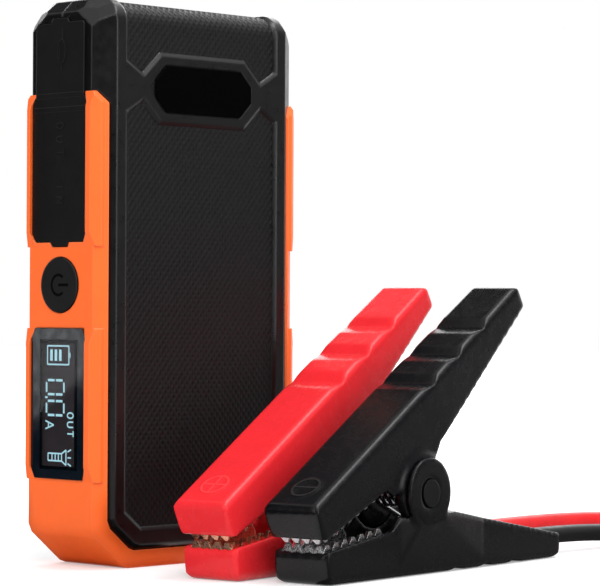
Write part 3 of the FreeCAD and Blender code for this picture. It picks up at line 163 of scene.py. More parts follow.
class ReadoutSettings(bpy.types.PropertyGroup):
    """The lit display under its window."""
    lit: colour_setting("Lit", "Lit figures", (0.40, 0.70, 0.80))
    field: colour_setting("Field", "Dark field behind the figures", (0.036, 0.029, 0.033))
    printed: colour_setting("Print", "Dark print round the field", (0.002, 0.005, 0.009))
    stroke: length_setting("Stroke", "Width of a digit's strokes", 0.8)
    fine_stroke: length_setting("Fine stroke", "Width of the small signs' strokes", 0.5)


class ClampSettings(bpy.types.PropertyGroup):
    """The clamps and their springs."""
    red: colour_setting("Red", "Red clamp", (0.76, 0.022, 0.029))
    black: colour_setting("Black", "Black clamp", (0.0034, 0.0034, 0.0042))
    # The signs are lighter than their clamps, a painted highlight on the raised rings
    red_sign: colour_setting("Red sign", "Raised sign on the red clamp", (0.84, 0.042, 0.047))
    black_sign: colour_setting("Black sign", "Raised sign on the black clamp",
                               (0.014, 0.014, 0.015))
    cell: length_setting("Cell", "Cell of the clamps' rounded surface", 0.45)
    rounds: IntProperty(name="Rounds", description="How often the surface is evened",
                        default=22, min=0)
    wire: length_setting("Wire", "Radius of the spring's wire", 0.8)


class LeadSettings(bpy.types.PropertyGroup):
    """The two leads between the clamps and the plug."""
    radius: length_setting("Radius", "Radius of each lead", 3.0)
    red: colour_setting("Red", "Red lead", (0.70, 0.016, 0.02))
    black: colour_setting("Black", "Black lead", (0.004, 0.004, 0.005))


# materials
# How far a normal leans where an edge's painted highlight begins, and where it is full
EDGE_LEAN = (0.02, 0.3)
# Heights between which the frame's foot ends, in metres
FOOT_SPAN = (0.020, 0.030)


def new_material(name):
    """An empty material and its shader."""
    material = bpy.data.materials.new(name)
    material.use_nodes = True
    tree = material.node_tree
    shader = tree.nodes["Principled BSDF"]
    return material, tree, shader


def put(tree, value, socket):
    """Links an output to an input, or sets the input to a plain value."""
    if isinstance(value, bpy.types.NodeSocket):
        tree.links.new(value, socket)
    else:
        socket.default_value = value


def fill(tree, node, **inputs):
    """Sets or links some of a node's inputs, by name with _ for spaces."""
    for key, value in inputs.items():
        put(tree, value, node.inputs[key.replace("_", " ")])
    return node


def add(tree, kind, **inputs):
    """A new shader node with some of its inputs set or linked."""
    return fill(tree, tree.nodes.new(kind), **inputs)


def worked(tree, kind, operation, *values):
    """A math or vector math node that works on these values, in order."""
    node = tree.nodes.new(kind)
    node.operation = operation
    for value, socket in zip(values, node.inputs):
        put(tree, value, socket)
    return node


def place_of(tree):
    """Where a point lies on its piece."""
    return add(tree, "ShaderNodeTexCoord").outputs["Object"]


def noise(tree, size, detail=3.0, roughness=0.55):
    """Cloudy noise with features of this size in metres."""
    node = add(tree, "ShaderNodeTexNoise", Vector=place_of(tree), Scale=1.0 / size, Detail=detail,
               Roughness=roughness)
    return node.outputs["Fac"]


def spread(tree, value, low, high, dark=0.0, light=1.0):
    """Stretches a value from low..high to dark..light."""
    node = add(tree, "ShaderNodeMapRange", Value=value, From_Min=low, From_Max=high, To_Min=dark,
               To_Max=light)
    return node.outputs["Result"]


def cloudy(tree, size, dark=0.0, light=1.0):
    """Noise with features of this size, its middle stretched to dark..light."""
    return spread(tree, noise(tree, size), 0.3, 0.7, dark, light)


def mixed(tree, factor, first, second):
    """A colour between two colours."""
    node = tree.nodes.new("ShaderNodeMix")
    node.data_type = "RGBA"
    put(tree, factor, node.inputs[0])
    for value, socket in ((first, node.inputs[6]), (second, node.inputs[7])):
        put(tree, value if isinstance(value, bpy.types.NodeSocket) else (*value, 1.0), socket)
    return node.outputs[2]


def shaded(colour, level):
    """A colour made darker or lighter."""
    return tuple(min(1.0, part * level) for part in colour)


def rounded_edge(tree, radius, samples=8):
    """The normal that edges rounded by this radius would have."""
    soft = add(tree, "ShaderNodeBevel", Radius=radius)
    soft.samples = samples
    return soft.outputs["Normal"]


def edge_mask(tree, radius):
    """One along the edges, from how far a rounded edge's normal leans away from the face's."""
    plain = tree.nodes.new("ShaderNodeNewGeometry")
    dot = worked(tree, "ShaderNodeVectorMath", "DOT_PRODUCT", rounded_edge(tree, radius, 6),
                 plain.outputs["Normal"])
    lean = worked(tree, "ShaderNodeMath", "SUBTRACT", 1.0, dot.outputs["Value"])
    return spread(tree, lean.outputs["Value"], *EDGE_LEAN)


def surface_normal(tree, edge, grain, grain_size, grain_depth, foot=0.0):
    """A normal with rounded edges and a fine moulded grain.

    The edges near the ground are rounded by the foot's radius instead.
    """
    bump = add(tree, "ShaderNodeBump", Strength=grain, Distance=grain_depth,
               Height=noise(tree, grain_size, 4.0, 0.6))
    if edge > 0:
        normal = rounded_edge(tree, edge)
        if foot > 0:
            parts = add(tree, "ShaderNodeSeparateXYZ", Vector=place_of(tree))
            both = tree.nodes.new("ShaderNodeMix")
            both.data_type = "VECTOR"
            put(tree, spread(tree, parts.outputs["Z"], *FOOT_SPAN), both.inputs[0])
            put(tree, rounded_edge(tree, foot), both.inputs[4])
            put(tree, normal, both.inputs[5])
            normal = both.outputs[1]
        fill(tree, bump, Normal=normal)
    return bump.outputs["Normal"]


def moulded(name, colour, roughness, edge=0.0, painted_highlight=None, highlight_radius=0.0, grain=0.03,
            grain_size=0.0007, specular=0.35, cloud=0.12, foot=0.0, pit_shade=None):
    """Moulded plastic or rubber: cloudy colour, fine grain, soft edges, a painted highlight on the
    edges.

    A painted shade goes where the surface's sunk attribute is 1.
    """
    material, tree, shader = new_material(name)
    shade = mixed(tree, cloudy(tree, 0.012), shaded(colour, 1 - cloud), shaded(colour, 1 + cloud))
    # A painted highlight lightens the edges
    if painted_highlight is not None:
        shade = mixed(tree, edge_mask(tree, highlight_radius), shade, painted_highlight)
    # Painted shade darkens the pits between the diamonds
    if pit_shade is not None:
        sunk = tree.nodes.new("ShaderNodeAttribute")
        sunk.attribute_name = "sunk"
        shade = mixed(tree, sunk.outputs["Fac"], shade, pit_shade)
    fill(tree, shader, Base_Color=shade, Specular_IOR_Level=specular,
         Roughness=cloudy(tree, 0.004, roughness - 0.05, roughness + 0.05),
         Normal=surface_normal(tree, edge, grain, grain_size, 0.00005, foot))
    return material


def metal(name, colour, roughness, edge=0.0):
    """Bare metal with fine scratches and cloudy polish."""
    material, tree, shader = new_material(name)
    fill(tree, shader, Metallic=1.0,
         Base_Color=mixed(tree, cloudy(tree, 0.002), shaded(colour, 0.8), colour),
         Roughness=cloudy(tree, 0.0007, roughness - 0.08, roughness + 0.1),
         Normal=surface_normal(tree, edge, 0.2, 0.0004, 0.00003))
    return material


def clear(name, tint, alpha):
    """A clear plastic pane: mostly see-through, with a gloss."""
    material, tree, shader = new_material(name)
    fill(tree, shader, Base_Color=(*tint, 1.0), Alpha=alpha,
         Roughness=cloudy(tree, 0.01, 0.04, 0.08))
    return material


def lit(name, colour, level):
    """A lit figure of a display, a little uneven."""
    material, tree, shader = new_material(name)
    fill(tree, shader, Base_Color=(0.02, 0.03, 0.04, 1.0), Emission_Strength=level, Roughness=0.4,
         Emission_Color=mixed(tree, cloudy(tree, 0.0015), shaded(colour, 0.88), colour))
    return material


def wear(node, material):
    """Gives a solid of the frame its finish."""
    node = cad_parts[node]
    node.data.materials.clear()
    node.data.materials.append(material)


def wear_all(names, material):
    """Gives several solids the same finish."""
    for name in names:
        wear(name, material)


# surfaces
def quads_of(rows, columns, loop_rows=False, loop_columns=False):
    """The four corners of each cell of a grid, numbered row by row."""
    u = np.arange(rows if loop_rows else rows - 1)
    v = np.arange(columns if loop_columns else columns - 1)
    a, b = np.meshgrid(u, v, indexing="ij")
    a2 = (a + 1) % rows
    b2 = (b + 1) % columns
    corners = [a * columns + b, a2 * columns + b, a2 * columns + b2, a * columns + b2]
    return np.stack(corners, -1).reshape(-1, 4)


def placed(name, data):
    """An object with this data, in the scene."""
    piece = bpy.data.objects.new(name, data)
    bpy.context.scene.collection.objects.link(piece)
    return piece


def merge_doubles(mesh, distance, turn_out):
    """Merges a mesh's doubles, and if asked drops faces with no area and turns the rest out."""
    work = bmesh.new()
    work.from_mesh(mesh)
    bmesh.ops.remove_doubles(work, verts=work.verts, dist=distance)
    if turn_out:
        bmesh.ops.dissolve_degenerate(work, edges=work.edges, dist=distance)
        bmesh.ops.recalc_face_normals(work, faces=work.faces)
    work.to_mesh(mesh)
    work.free()


def made(name, points, faces, material, smooth=True, merge=1e-7, sharp=None):
    """An object from points in metres and lists of corners, with doubles merged."""
    mesh = bpy.data.meshes.new(name)
    mesh.from_pydata(np.asarray(points, float).reshape(-1, 3).tolist(), [], faces)
    merge_doubles(mesh, merge, True)
    mesh.materials.append(material)
    mesh.polygons.foreach_set("use_smooth", np.full(len(mesh.polygons), smooth))
    if sharp is not None:
        mesh.set_sharp_from_angle(angle=sharp)
    return placed(name, mesh)


def framed(path, lean):
    """Directions along, beside and over a path, the last nearest to lean."""
    along = np.gradient(path, axis=0)
    along /= np.linalg.norm(along, axis=1, keepdims=True)
    beside = np.cross(along, lean)
    beside /= np.linalg.norm(beside, axis=1, keepdims=True)
    return along, beside, np.cross(beside, along)


def tube(name, path, radius, lean, material, sides):
    """A round tube: at each point of the path, radius times (cos a) beside plus (sin a) over.

    Its ends are closed by flat domes: the radius falls as cos b while the ring moves on by
    half the radius times sin b.
    """
    along, beside, over = framed(path, lean)
    dome = np.linspace(0, math.pi / 2, 5)[1:]
    steps = len(dome)
    shrink = np.concatenate([np.cos(dome)[::-1], np.ones(len(path)), np.cos(dome)])
    shift = np.concatenate([-np.sin(dome)[::-1], np.zeros(len(path)), np.sin(dome)]) * radius * 0.5
    last = len(path) - 1
    pick = np.concatenate([np.zeros(steps, int), np.arange(last + 1), np.full(steps, last)])
    turn = np.linspace(0, 2 * math.pi, sides, endpoint=False)
    ring = np.cos(turn)[None, :, None] * beside[pick][:, None]
    ring = ring + np.sin(turn)[None, :, None] * over[pick][:, None]
    centre = path[pick] + along[pick] * shift[:, None]
    points = centre[:, None] + ring * (shrink * radius)[:, None, None]
    faces = quads_of(len(pick), sides, loop_columns=True).tolist()
    return made(name, points, faces, material, merge=1e-6)


def arc(centre, radius, start, finish, steps, squeeze=1.0):
    """Points of a circle's arc as (y, z), from one angle in degrees to another.

    y = cy + r squeeze cos a and z = cz + r sin a.
    """
    turn = np.radians(np.linspace(start, finish, steps))
    return np.stack([centre[0] + radius * squeeze * np.cos(turn),
                     centre[1] + radius * np.sin(turn)], -1)


def strips(name, lines, width, face, rise, material, place=None):
    """Raised strips on a wall that faces -X, all sizes in millimetres.

    Each strip follows a line of (y, z) points: its cross section at each point is a rectangle,
    half its width to either side of the line and from the wall out by its rise. A place
    function carries the points over to another wall, in metres.
    """
    points = []
    faces = []
    first = 0
    for line in lines:
        line = np.asarray(line, float)
        along = np.gradient(line, axis=0)
        along /= np.linalg.norm(along, axis=1, keepdims=True)
        beside = np.stack([-along[:, 1], along[:, 0]], -1) * width / 2
        edges = (line + beside, line + beside, line - beside, line - beside)
        depths = (face + rise / 2, face - rise, face - rise, face + rise / 2)
        rings = [np.c_[np.full(len(line), x), edge] for x, edge in zip(depths, edges)]
        points.append(np.stack(rings, 1).reshape(-1, 3))
        last = first + 4 * (len(line) - 1)
        faces += (quads_of(len(line), 4, loop_columns=True) + first).tolist()
        faces += [[first + i for i in range(4)], [last + i for i in (3, 2, 1, 0)]]
        first = last + 4
    points = np.concatenate(points)
    points = place(points) if place else points * MM
    return made(name, points, faces, material, smooth=False, merge=1e-9)


def softened(node, name, cell, rounds, material):
    """A solid's copy with its edges rounded off.

    The surface is laid anew in even cells, then each point moves halfway to the mean of its
    neighbours, a number of times.
    """
    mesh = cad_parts[node].data.copy()
    mesh.name = name
    mesh.materials.clear()
    merge_doubles(mesh, 1e-6, False)
    piece = placed(name, mesh)
    cells = piece.modifiers.new("cells", "REMESH")
    cells.mode = "VOXEL"
    cells.voxel_size = cell
    cells.use_smooth_shade = True
    even = piece.modifiers.new("even", "SMOOTH")
    even.factor = 0.5
    even.iterations = rounds
    graph = bpy.context.evaluated_depsgraph_get()
    piece.data = bpy.data.meshes.new_from_object(piece.evaluated_get(graph), depsgraph=graph)
    piece.modifiers.clear()
    piece.data.materials.clear()
    piece.data.materials.append(material)
    return piece


def smooth_step(value, low, high):
    """0 below low, 1 above high, and 3t^2 - 2t^3 between."""
    t = np.clip((value - low) / (high - low), 0, 1)
    return t * t * (3 - 2 * t)


def inset(corners, distance):
    """An outline's corners moved inward by a distance.

    Each moves along the sum of its two edges' normals m and n, by the distance / (1 + m . n).
    """
    points = np.asarray(corners, float)
    before = np.roll(points, 1, axis=0)
    after = np.roll(points, -1, axis=0)
    area = np.sum(before[:, 0] * points[:, 1] - points[:, 0] * before[:, 1])
    turn = 1.0 if area > 0 else -1.0

    def normal(edge):
        edge = edge / np.linalg.norm(edge, axis=1, keepdims=True)
        return turn * np.stack([edge[:, 1], -edge[:, 0]], -1)

    first = normal(points - before)
    second = normal(after - points)
    scale = distance / (1 + np.sum(first * second, axis=1, keepdims=True))
    return points - (first + second) * scale


# camera and stage
class PlaceCamera(bpy.types.Operator):
    """Sets the camera to the photograph's place and lens"""
    bl_idname = "jump_pack.place_camera"
    bl_label = "Place the camera"

    def execute(self, context):
        values = context.scene.jump_camera
        data = bpy.data.cameras.new("photo_camera")
        data.lens = values.lens
        data.sensor_fit = "HORIZONTAL"
        data.sensor_width = 36.0
        data.clip_start = 0.01
        data.clip_end = 50.0
        camera = placed("photo_camera", data)
        cos_tilt = math.cos(values.tilt)
        look = Vector((math.sin(values.heading) * cos_tilt, math.cos(values.heading) * cos_tilt,
                       math.sin(values.tilt)))
        level = Vector((math.cos(values.heading), -math.sin(values.heading), 0))
        upright = level.cross(look)
        right = level * math.cos(values.roll) + upright * math.sin(values.roll)
        up = upright * math.cos(values.roll) - level * math.sin(values.roll)
        turn = Matrix((right, up, -look)).transposed().to_4x4()
        camera.matrix_world = Matrix.Translation(values.place) @ turn
        context.scene.camera = camera
        return {"FINISHED"}


# A lamp: its place, what it is turned to, and its width and height in metres
LAMPS = (("top", (0.2, -0.4, 1.05), (0.0, 0.0, 0.1), (0.6, 0.35)),
         ("key", (-0.8, -0.85, 1.0), (0.0, 0.0, 0.09), (0.5, 0.5)),
         ("front", (0.15, -1.3, 0.6), (0.0, 0.0, 0.09), (0.4, 1.0)),
         ("side", (-1.3, 0.05, 0.6), (0.0, 0.0, 0.09), (0.4, 1.0)),
         ("back", (0.72, 0.60, 0.72), (0.02, -0.02, 0.12), (1.1, 0.8)))
# A card across the line to the object: its place on the table, its width and height in metres
STANDING_CARDS = (("front_card", (0.60, -0.62), 0.80, 0.70, "grey"),
                  ("side_card", (-0.272, 0.265), 0.42, 0.45, "dark"),
                  ("near_card", (-0.36, -0.36), 0.90, 0.60, "dark"))
# A card on the table: its two ends and its width
LYING_CARDS = (("front_low_card", (0.01, -0.06), (0.60, -0.62), 0.5, "grey"),
               ("side_low_card", (-0.042, -0.048), (-0.30, 0.235), 0.42, "dark"))
# The slanting card behind the clamps that their arms' backs mirror
HIGH_CARD = ((-0.12, 0.86, 0.56), (0.68, 0.60, 0.56), (0.56, 0.24, 0.94), (-0.24, 0.50, 0.94))
# The small bright panel that the display's pane mirrors in its upper corner
PANE_LIGHT = ((-0.2463, 0.2125, 0.0575), (-0.2463, 0.2535, 0.0345), (-0.2463, 0.2535, 0.08),
              (-0.2463, 0.2125, 0.08))
PANE_LIGHT_LEVEL = 3.0
STANDING_GAP = 0.002
LYING_GAP = 0.0005
TABLE_REACH = 4.0
TABLE_TOP = -0.00005
# The table's own glow to the eye: distances from the middle, and its strength at each
GLOW_REACH = (0.25, 0.8)
GLOW_LEVEL = (0.34, 0.85)


def standing(place, wide, high):
    """Corners half the width to either side of a place, across the line to the object."""
    place = np.array(place)
    side = np.array([-place[1], place[0]]) / np.linalg.norm(place) * wide / 2
    low, top = STANDING_GAP, STANDING_GAP + high
    return [(*(place - side), low), (*(place - side), top), (*(place + side), top),
            (*(place + side), low)]


def lying(start, end, wide):
    """Corners half the width to either side of a line on the table."""
    start, end = np.array(start), np.array(end)
    side = np.array([start[1] - end[1], end[0] - start[0]])
    side *= wide / 2 / np.linalg.norm(side)
    corners = [end - side, end + side, start + side, start - side]
    return [(*corner, LYING_GAP) for corner in corners]


def seen_ray(tree):
    """1 for what the camera sees straight, in gloss or through a clear pane, else 0."""
    path = tree.nodes.new("ShaderNodeLightPath")
    total = path.outputs["Is Camera Ray"]
    for key in ("Is Glossy Ray", "Is Transmission Ray"):
        total = worked(tree, "ShaderNodeMath", "MAXIMUM", total, path.outputs[key]).outputs[0]
    return total


class SetStage(bpy.types.Operator):
    """Lays the pale table and hangs the soft lights"""
    bl_idname = "jump_pack.set_stage"
    bl_label = "Set the stage"

    def execute(self, context):
        values = context.scene.jump_studio
        context.scene.view_settings.view_transform = "Standard"
        self.sky(context, values)
        self.table(values)
        for name, place, target, size in LAMPS:
            self.lamp(f"{name}_light", place, target, size, getattr(values, f"{name}_power"))
        shades = {"dark": moulded("card_black", values.card, 0.9, specular=0.0),
                  "grey": moulded("card_grey", values.front_card, 0.9, specular=0.0)}
        for name, place, wide, high, shade in STANDING_CARDS:
            self.card(name, standing(place, wide, high), shades[shade])
        for name, start, end, wide, shade in LYING_CARDS:
            self.card(name, lying(start, end, wide), shades[shade])
        self.card("high_card", HIGH_CARD, shades["dark"])
        self.card("pane_light", PANE_LIGHT,
                  lit("panel_white", (1.0, 1.0, 1.0), PANE_LIGHT_LEVEL))
        return {"FINISHED"}

    def card(self, name, corners, material):
        """A card from its four corners, which only gloss sees."""
        card = made(name, corners, [[0, 1, 2, 3]], material, smooth=False)
        for ray in ("camera", "diffuse", "shadow", "transmission"):
            setattr(card, f"visible_{ray}", False)

    def sky(self, context, values):
        """An even light from all round, which shows as white."""
        world = bpy.data.worlds.new("studio")
        context.scene.world = world
        world.use_nodes = True
        tree = world.node_tree
        fill(tree, tree.nodes["Background"], Color=(1.0, 1.0, 1.0, 1.0),
             Strength=spread(tree, seen_ray(tree), 0.0, 1.0, values.sky_level, 1.0))

    def table(self, values):
        """A wide square that glows to the eye, more so away from the object."""
        reach = np.linspace(-TABLE_REACH, TABLE_REACH, 3)
        x, y = np.meshgrid(reach, reach, indexing="ij")
        points = np.stack([x, y, np.full_like(x, TABLE_TOP)], -1)
        material, tree, shader = new_material("pale_table")
        far = worked(tree, "ShaderNodeVectorMath", "LENGTH", place_of(tree))
        away = spread(tree, far.outputs["Value"], *GLOW_REACH, *GLOW_LEVEL)
        glow = worked(tree, "ShaderNodeMath", "MULTIPLY", away, seen_ray(tree))
        fill(tree, shader, Base_Color=(*values.table, 1.0), Roughness=0.9, Specular_IOR_Level=0.1,
             Emission_Color=(1.0, 1.0, 1.0, 1.0), Emission_Strength=glow.outputs[0])
        made("table", points, quads_of(3, 3).tolist(), material)

    def lamp(self, name, place, target, size, power):
        """A softbox at a place, turned to its target."""
        data = bpy.data.lights.new(name, "AREA")
        data.shape = "RECTANGLE"
        data.size, data.size_y = size
        data.energy = power
        lamp = placed(name, data)
        lamp.visible_camera = False
        aim = (Vector(target) - Vector(place)).to_track_quat("-Z", "Y")
        lamp.matrix_world = Matrix.Translation(place) @ aim.to_matrix().to_4x4()


# leads
# Where a clamp's lead leaves its tail, and where its inner end lies, from the pivot
LEAD_START = 76.0
LEAD_INNER_START = -5.2
LEAD_INNER_POINTS = 42
LEAD_HEIGHT = 6.85
LEAD_FIRST_RUN = 31.0
LEAD_LAST_RUN = 16.0
# The boot's end, in the middle between the two leads
BOOT_END = (170.0, -166.0, 6.2)
LEAD_PITCH = 9.0
# The same points as the solids follow, between the tail and the boot
LEAD_ROUTES = {
    "black": [(164.0, -75.5, 4.4), (193.0, -84.0, 3.15), (211.0, -103.0, 3.1),
              (214.5, -129.0, 3.1), (203.0, -151.0, 3.5)],
    "red": [(151.0, -39.6, 6.8), (188.0, -36.5, 6.0), (216.0, -48.0, 4.2), (233.0, -71.0, 3.2),
            (237.0, -100.0, 3.1), (233.0, -129.0, 3.1), (221.0, -153.0, 3.2),
            (204.0, -167.0, 4.6)],
}
LEAD_SIDES = {"black": 1, "red": -1}


def lead_points(colour):
    """The lead's route: out of the tail, along the table and into the plug's boot."""
    x, y, heading = CLAMP_PLACES[colour]
    turn = math.radians(heading)
    along = np.array([math.cos(turn), math.sin(turn), 0.0])
    start = np.array([x, y, LEAD_HEIGHT]) + along * LEAD_START
    entry = np.array(BOOT_END) + [0, LEAD_SIDES[colour] * LEAD_PITCH / 2, 0]
    run = entry + [LEAD_LAST_RUN, 0, 0]
    route = [start, start + along * LEAD_FIRST_RUN, *LEAD_ROUTES[colour], run, entry]
    return np.array(route, float) * MM


def lead_jacket(colour):
    """The jacket's material, made once for each colour."""
    name = f"{colour}_lead_jacket"
    shade = getattr(bpy.context.scene.jump_leads, colour)
    return bpy.data.materials.get(name) or moulded(name, shade, 0.42, specular=0.2)


class LayLeads(bpy.types.Operator):
    """Lays the two free leads from the clamps' tails to the plug"""
    bl_idname = "jump_pack.lay_leads"
    bl_label = "Lay the leads"

    def execute(self, context):
        values = context.scene.jump_leads
        for colour in ("black", "red"):
            points = lead_points(colour)
            data = bpy.data.curves.new(f"{colour}_cable", "CURVE")
            data.dimensions = "3D"
            data.bevel_depth = values.radius
            data.bevel_resolution = 6
            data.resolution_u = 24
            data.use_fill_caps = True
            spline = data.splines.new("NURBS")
            spline.points.add(len(points) - 1)
            spline.points.foreach_set("co", np.c_[points, np.ones(len(points))].ravel())
            spline.order_u = 3
            spline.use_endpoint_u = True
            data.materials.append(lead_jacket(colour))
            cable = placed(f"{colour}_cable", data)
            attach(cable, "pack")
            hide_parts(f"{colour}_lead")
        return {"FINISHED"}


# housing
# Shares of the edge for the covers' rounding and painted edge highlight, and for the frame's
# painted edge highlight
COVER_ROUND = 1.5
COVER_HIGHLIGHT = 0.4
FRAME_HIGHLIGHT = 0.8


class FinishHousing(bpy.types.Operator):
    """Gives the two covers, the orange frame and the screws their finish"""
    bl_idname = "jump_pack.finish_housing"
    bl_label = "Housing and frame"

    def execute(self, context):
        values = context.scene.jump_housing
        # The covers' edges are lightened as a painted highlight
        black = moulded("housing_plastic", values.black, 0.31, edge=COVER_ROUND * values.edge,
                        painted_highlight=values.rim_highlight, highlight_radius=COVER_HIGHLIGHT * values.edge, specular=0.42)
        wear_all(("front_cover", "back_cover"), black)
        # The frame's edges are lightened as a painted highlight
        orange = moulded("frame_plastic", values.orange, 0.42, edge=values.edge,
                         painted_highlight=values.orange_edge_highlight, highlight_radius=FRAME_HIGHLIGHT * values.edge,
                         specular=0.3, cloud=0.03, foot=values.foot)
        wear("side_frame", orange)
        wear("case_screws", metal("screw_steel", (0.02, 0.02, 0.021), 0.5))
        return {"FINISHED"}


# The roll's radius at the panels' face, and where it starts, as a depth and as a height
PANEL_ROLL = TOP_ROLL - (PACK_FRONT - PANEL_FACE)
ROLL_DEPTH = PACK_FRONT - TOP_ROLL
ROLL_HEIGHT = PACK_HEIGHT - TOP_ROLL
PANEL_THICKNESS = 1.0
PANEL_BEVEL = 1.5
PANEL_END = 8.05
# How far from a ridge's line it starts to fall and the ground begins, as shares of a pitch
RIDGE = (0.10, 0.24)
UPPER_OUTLINE = [(35.0, 165.8), (27.0, 161.1), (19.2, 168.5), (-19.2, 168.5), (-27.0, 161.1),
                 (-35.0, 165.8), (-35.0, 180.2), (35.0, 180.2)]
LOWER_OUTLINE = [(-35.0, 18.3), (-27.375, 12.2), (27.375, 12.2), (35.0, 18.3), (35.0, 150.1),
                 (27.0, 154.8), (19.2, 147.4), (-19.2, 147.4), (-27.0, 154.8), (-35.0, 150.1)]
BACK_OUTLINE = [(-35.0, 18.3), (-27.375, 12.2), (27.375, 12.2), (35.0, 18.3), (35.0, 180.2),
                (-35.0, 180.2)]


def profile_point(run, out):
    """A point of the panel's upright profile at this run from the ground, pushed out by out.

    The run is the height up to the roll, then the arc's length over the rolled edge, then the
    way along the top.
    """
    over = run - ROLL_HEIGHT
    angle = np.clip(over / PANEL_ROLL, 0, math.pi / 2)
    rest = np.maximum(over - PANEL_ROLL * math.pi / 2, 0)
    depth = ROLL_DEPTH + (PANEL_ROLL + out) * np.cos(angle) - rest
    height = np.minimum(run, ROLL_HEIGHT) + (PANEL_ROLL + out) * np.sin(angle)
    return depth, height


def sorted_across(corners):
    """Corners in order across the panel."""
    return corners[np.argsort(corners[:, 0], kind="stable")]


def panel(name, outline, sign, rolled, values, material, fine):
    """A textured panel: a grid across and along the profile, cut off at the outline.

    The net is two families of slanting ridges. With p = x / pitch + run / rise and
    q = x / pitch - run / rise, a point's way to the nearest ridge is the least distance of p
    and of q to a whole number, and the ground falls smoothly from the ridge to the depth.
    Each diamond has a fine number of the grid's cells both ways.
    """
    corners = inset(outline, PANEL_BEVEL)
    half = corners[:, 0].max()
    middle = corners[:, 1].mean()
    pitch = 2 * half / values.across
    rise = values.rise / MM
    foot = sorted_across(corners[corners[:, 1] < middle])
    head = sorted_across(corners[corners[:, 1] > middle])
    x = np.linspace(-half, half, values.across * fine + 1)
    low = np.interp(x, foot[:, 0], foot[:, 1])
    high = np.interp(x, head[:, 0], head[:, 1])
    if rolled:
        last = ROLL_HEIGHT + PANEL_ROLL * math.pi / 2 + ROLL_DEPTH - PANEL_END
        high = np.full_like(x, last)
    step = rise / fine
    first = math.floor(low.min() / step) * step
    run = np.arange(first, high.max() + step, step)
    across, along = np.meshgrid(x, run)
    along = np.clip(along, low[None, :], high[None, :])
    p = across / pitch + along / rise
    q = across / pitch - along / rise
    way = np.minimum(np.abs(p - np.round(p)), np.abs(q - np.round(q)))
    sunk = -values.depth / MM * smooth_step(way, *RIDGE)
    across = np.pad(across, 1, mode="edge")
    along = np.pad(along, 1, mode="edge")
    sunk = np.pad(sunk, 1, constant_values=-PANEL_THICKNESS)
    depth, height = profile_point(along, sunk)
    points = np.stack([across, sign * depth, height], -1) * MM
    rows, columns = across.shape
    faces = quads_of(rows, columns).tolist()
    number = np.arange(rows * columns).reshape(rows, columns)
    turn = rows - 1
    if rolled:
        turn = int(np.argmax(run > ROLL_HEIGHT))
        left = number[turn:, 0]
        right = number[turn:, -1]
        behind = np.stack([left[:-1], left[1:], right[1:], right[:-1]], -1)
        faces += behind[:-1].tolist()
        faces.append([*number[-1, ::-1].tolist(), int(left[-2]), int(right[-2])])
        ring = [*number[0, :], *number[1:turn + 1, -1], *number[turn:0:-1, 0]]
    else:
        ring = [*number[0, :], *number[1:, -1], *number[-1, -2::-1], *number[-2:0:-1, 0]]
    faces.append([int(i) for i in ring])
    piece = made(name, points, faces, material, merge=2e-6, sharp=math.radians(50))
    mark_pits(piece, values.depth / MM)
    return piece


def mark_pits(piece, depth):
    """Marks how deep each point lies: 0 on a ridge and 1 in a pit.

    A point's way out from the profile is its distance from the line about which the panel
    rolls, less the roll's radius, and on the flat parts only one of its two sides counts.
    """
    points = np.empty(3 * len(piece.data.vertices))
    piece.data.vertices.foreach_get("co", points)
    points = np.abs(points.reshape(-1, 3)) / MM
    back = np.maximum(points[:, 1] - ROLL_DEPTH, 0)
    up = np.maximum(points[:, 2] - ROLL_HEIGHT, 0)
    out = np.hypot(back, up) - PANEL_ROLL
    sunk = piece.data.attributes.new("sunk", "FLOAT", "POINT")
    sunk.data.foreach_set("value", np.clip(-out / depth, 0, 1))


class PressPanels(bpy.types.Operator):
    """Makes the panels with their raised net of diamonds"""
    bl_idname = "jump_pack.press_panels"
    bl_label = "Textured panels"

    def execute(self, context):
        values = context.scene.jump_panels
        # The pits get a painted shade
        rubber = moulded("panel_rubber", values.colour, 0.48, specular=0.24, pit_shade=values.pit_shade)
        # Name, outline, side, whether it rolls over the top, cells in a diamond, node
        rows = (("front_panel_upper", UPPER_OUTLINE, -1, True, 8, "grip_panel_upper"),
                ("front_panel_lower", LOWER_OUTLINE, -1, False, 8, "grip_panel_lower"),
                ("back_panel", BACK_OUTLINE, 1, True, 6, "back_grip_panel"))
        for name, outline, sign, rolled, fine, node in rows:
            piece = panel(name, outline, sign, rolled, values, rubber, fine)
            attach(piece, "pack")
            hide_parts(node)
        return {"FINISHED"}


class PolishBadge(bpy.types.Operator):
    """Gives the bare badge its piano-black gloss"""
    bl_idname = "jump_pack.polish_badge"
    bl_label = "Bare badge"

    def execute(self, context):
        gloss = moulded("badge_gloss", context.scene.jump_housing.badge, 0.08, edge=0.0003,
                        grain=0.0, specular=0.05)
        wear("badge_plate", gloss)
        return {"FINISHED"}


# left side
COVER_FACE = -46.2
CLAMP_SIGN = [[(-1.0, 176.9), (-1.0, 173.4)], arc((-0.4, 169.6), 3.9, 90, 450, 32, 0.5),
              [(-0.4, 165.9), (-0.4, 163.4)], [(0.6, 172.0), (0.6, 167.2)]]
# A thin web's name, leaf, middle and width, and its heights on the leaf and on the band
COVER_WEBS = (("web_lower", "port_leaf_lower", 0.4, 27.2, (149.6, 151.4)),
              ("web_upper", "port_leaf_upper", 0.4, 23.8, (156.0, 154.2)))
PORT_WORDS = (("OUT", (1.8, 146.5)), ("IN", (1.8, 126.5)))
SIGN_HEIGHT = 3.4
SIGN_STEP = 4.4
WEB_RISE = 0.04
PRINT_RISE = 0.02
BRASS = (0.8, 0.58, 0.25)
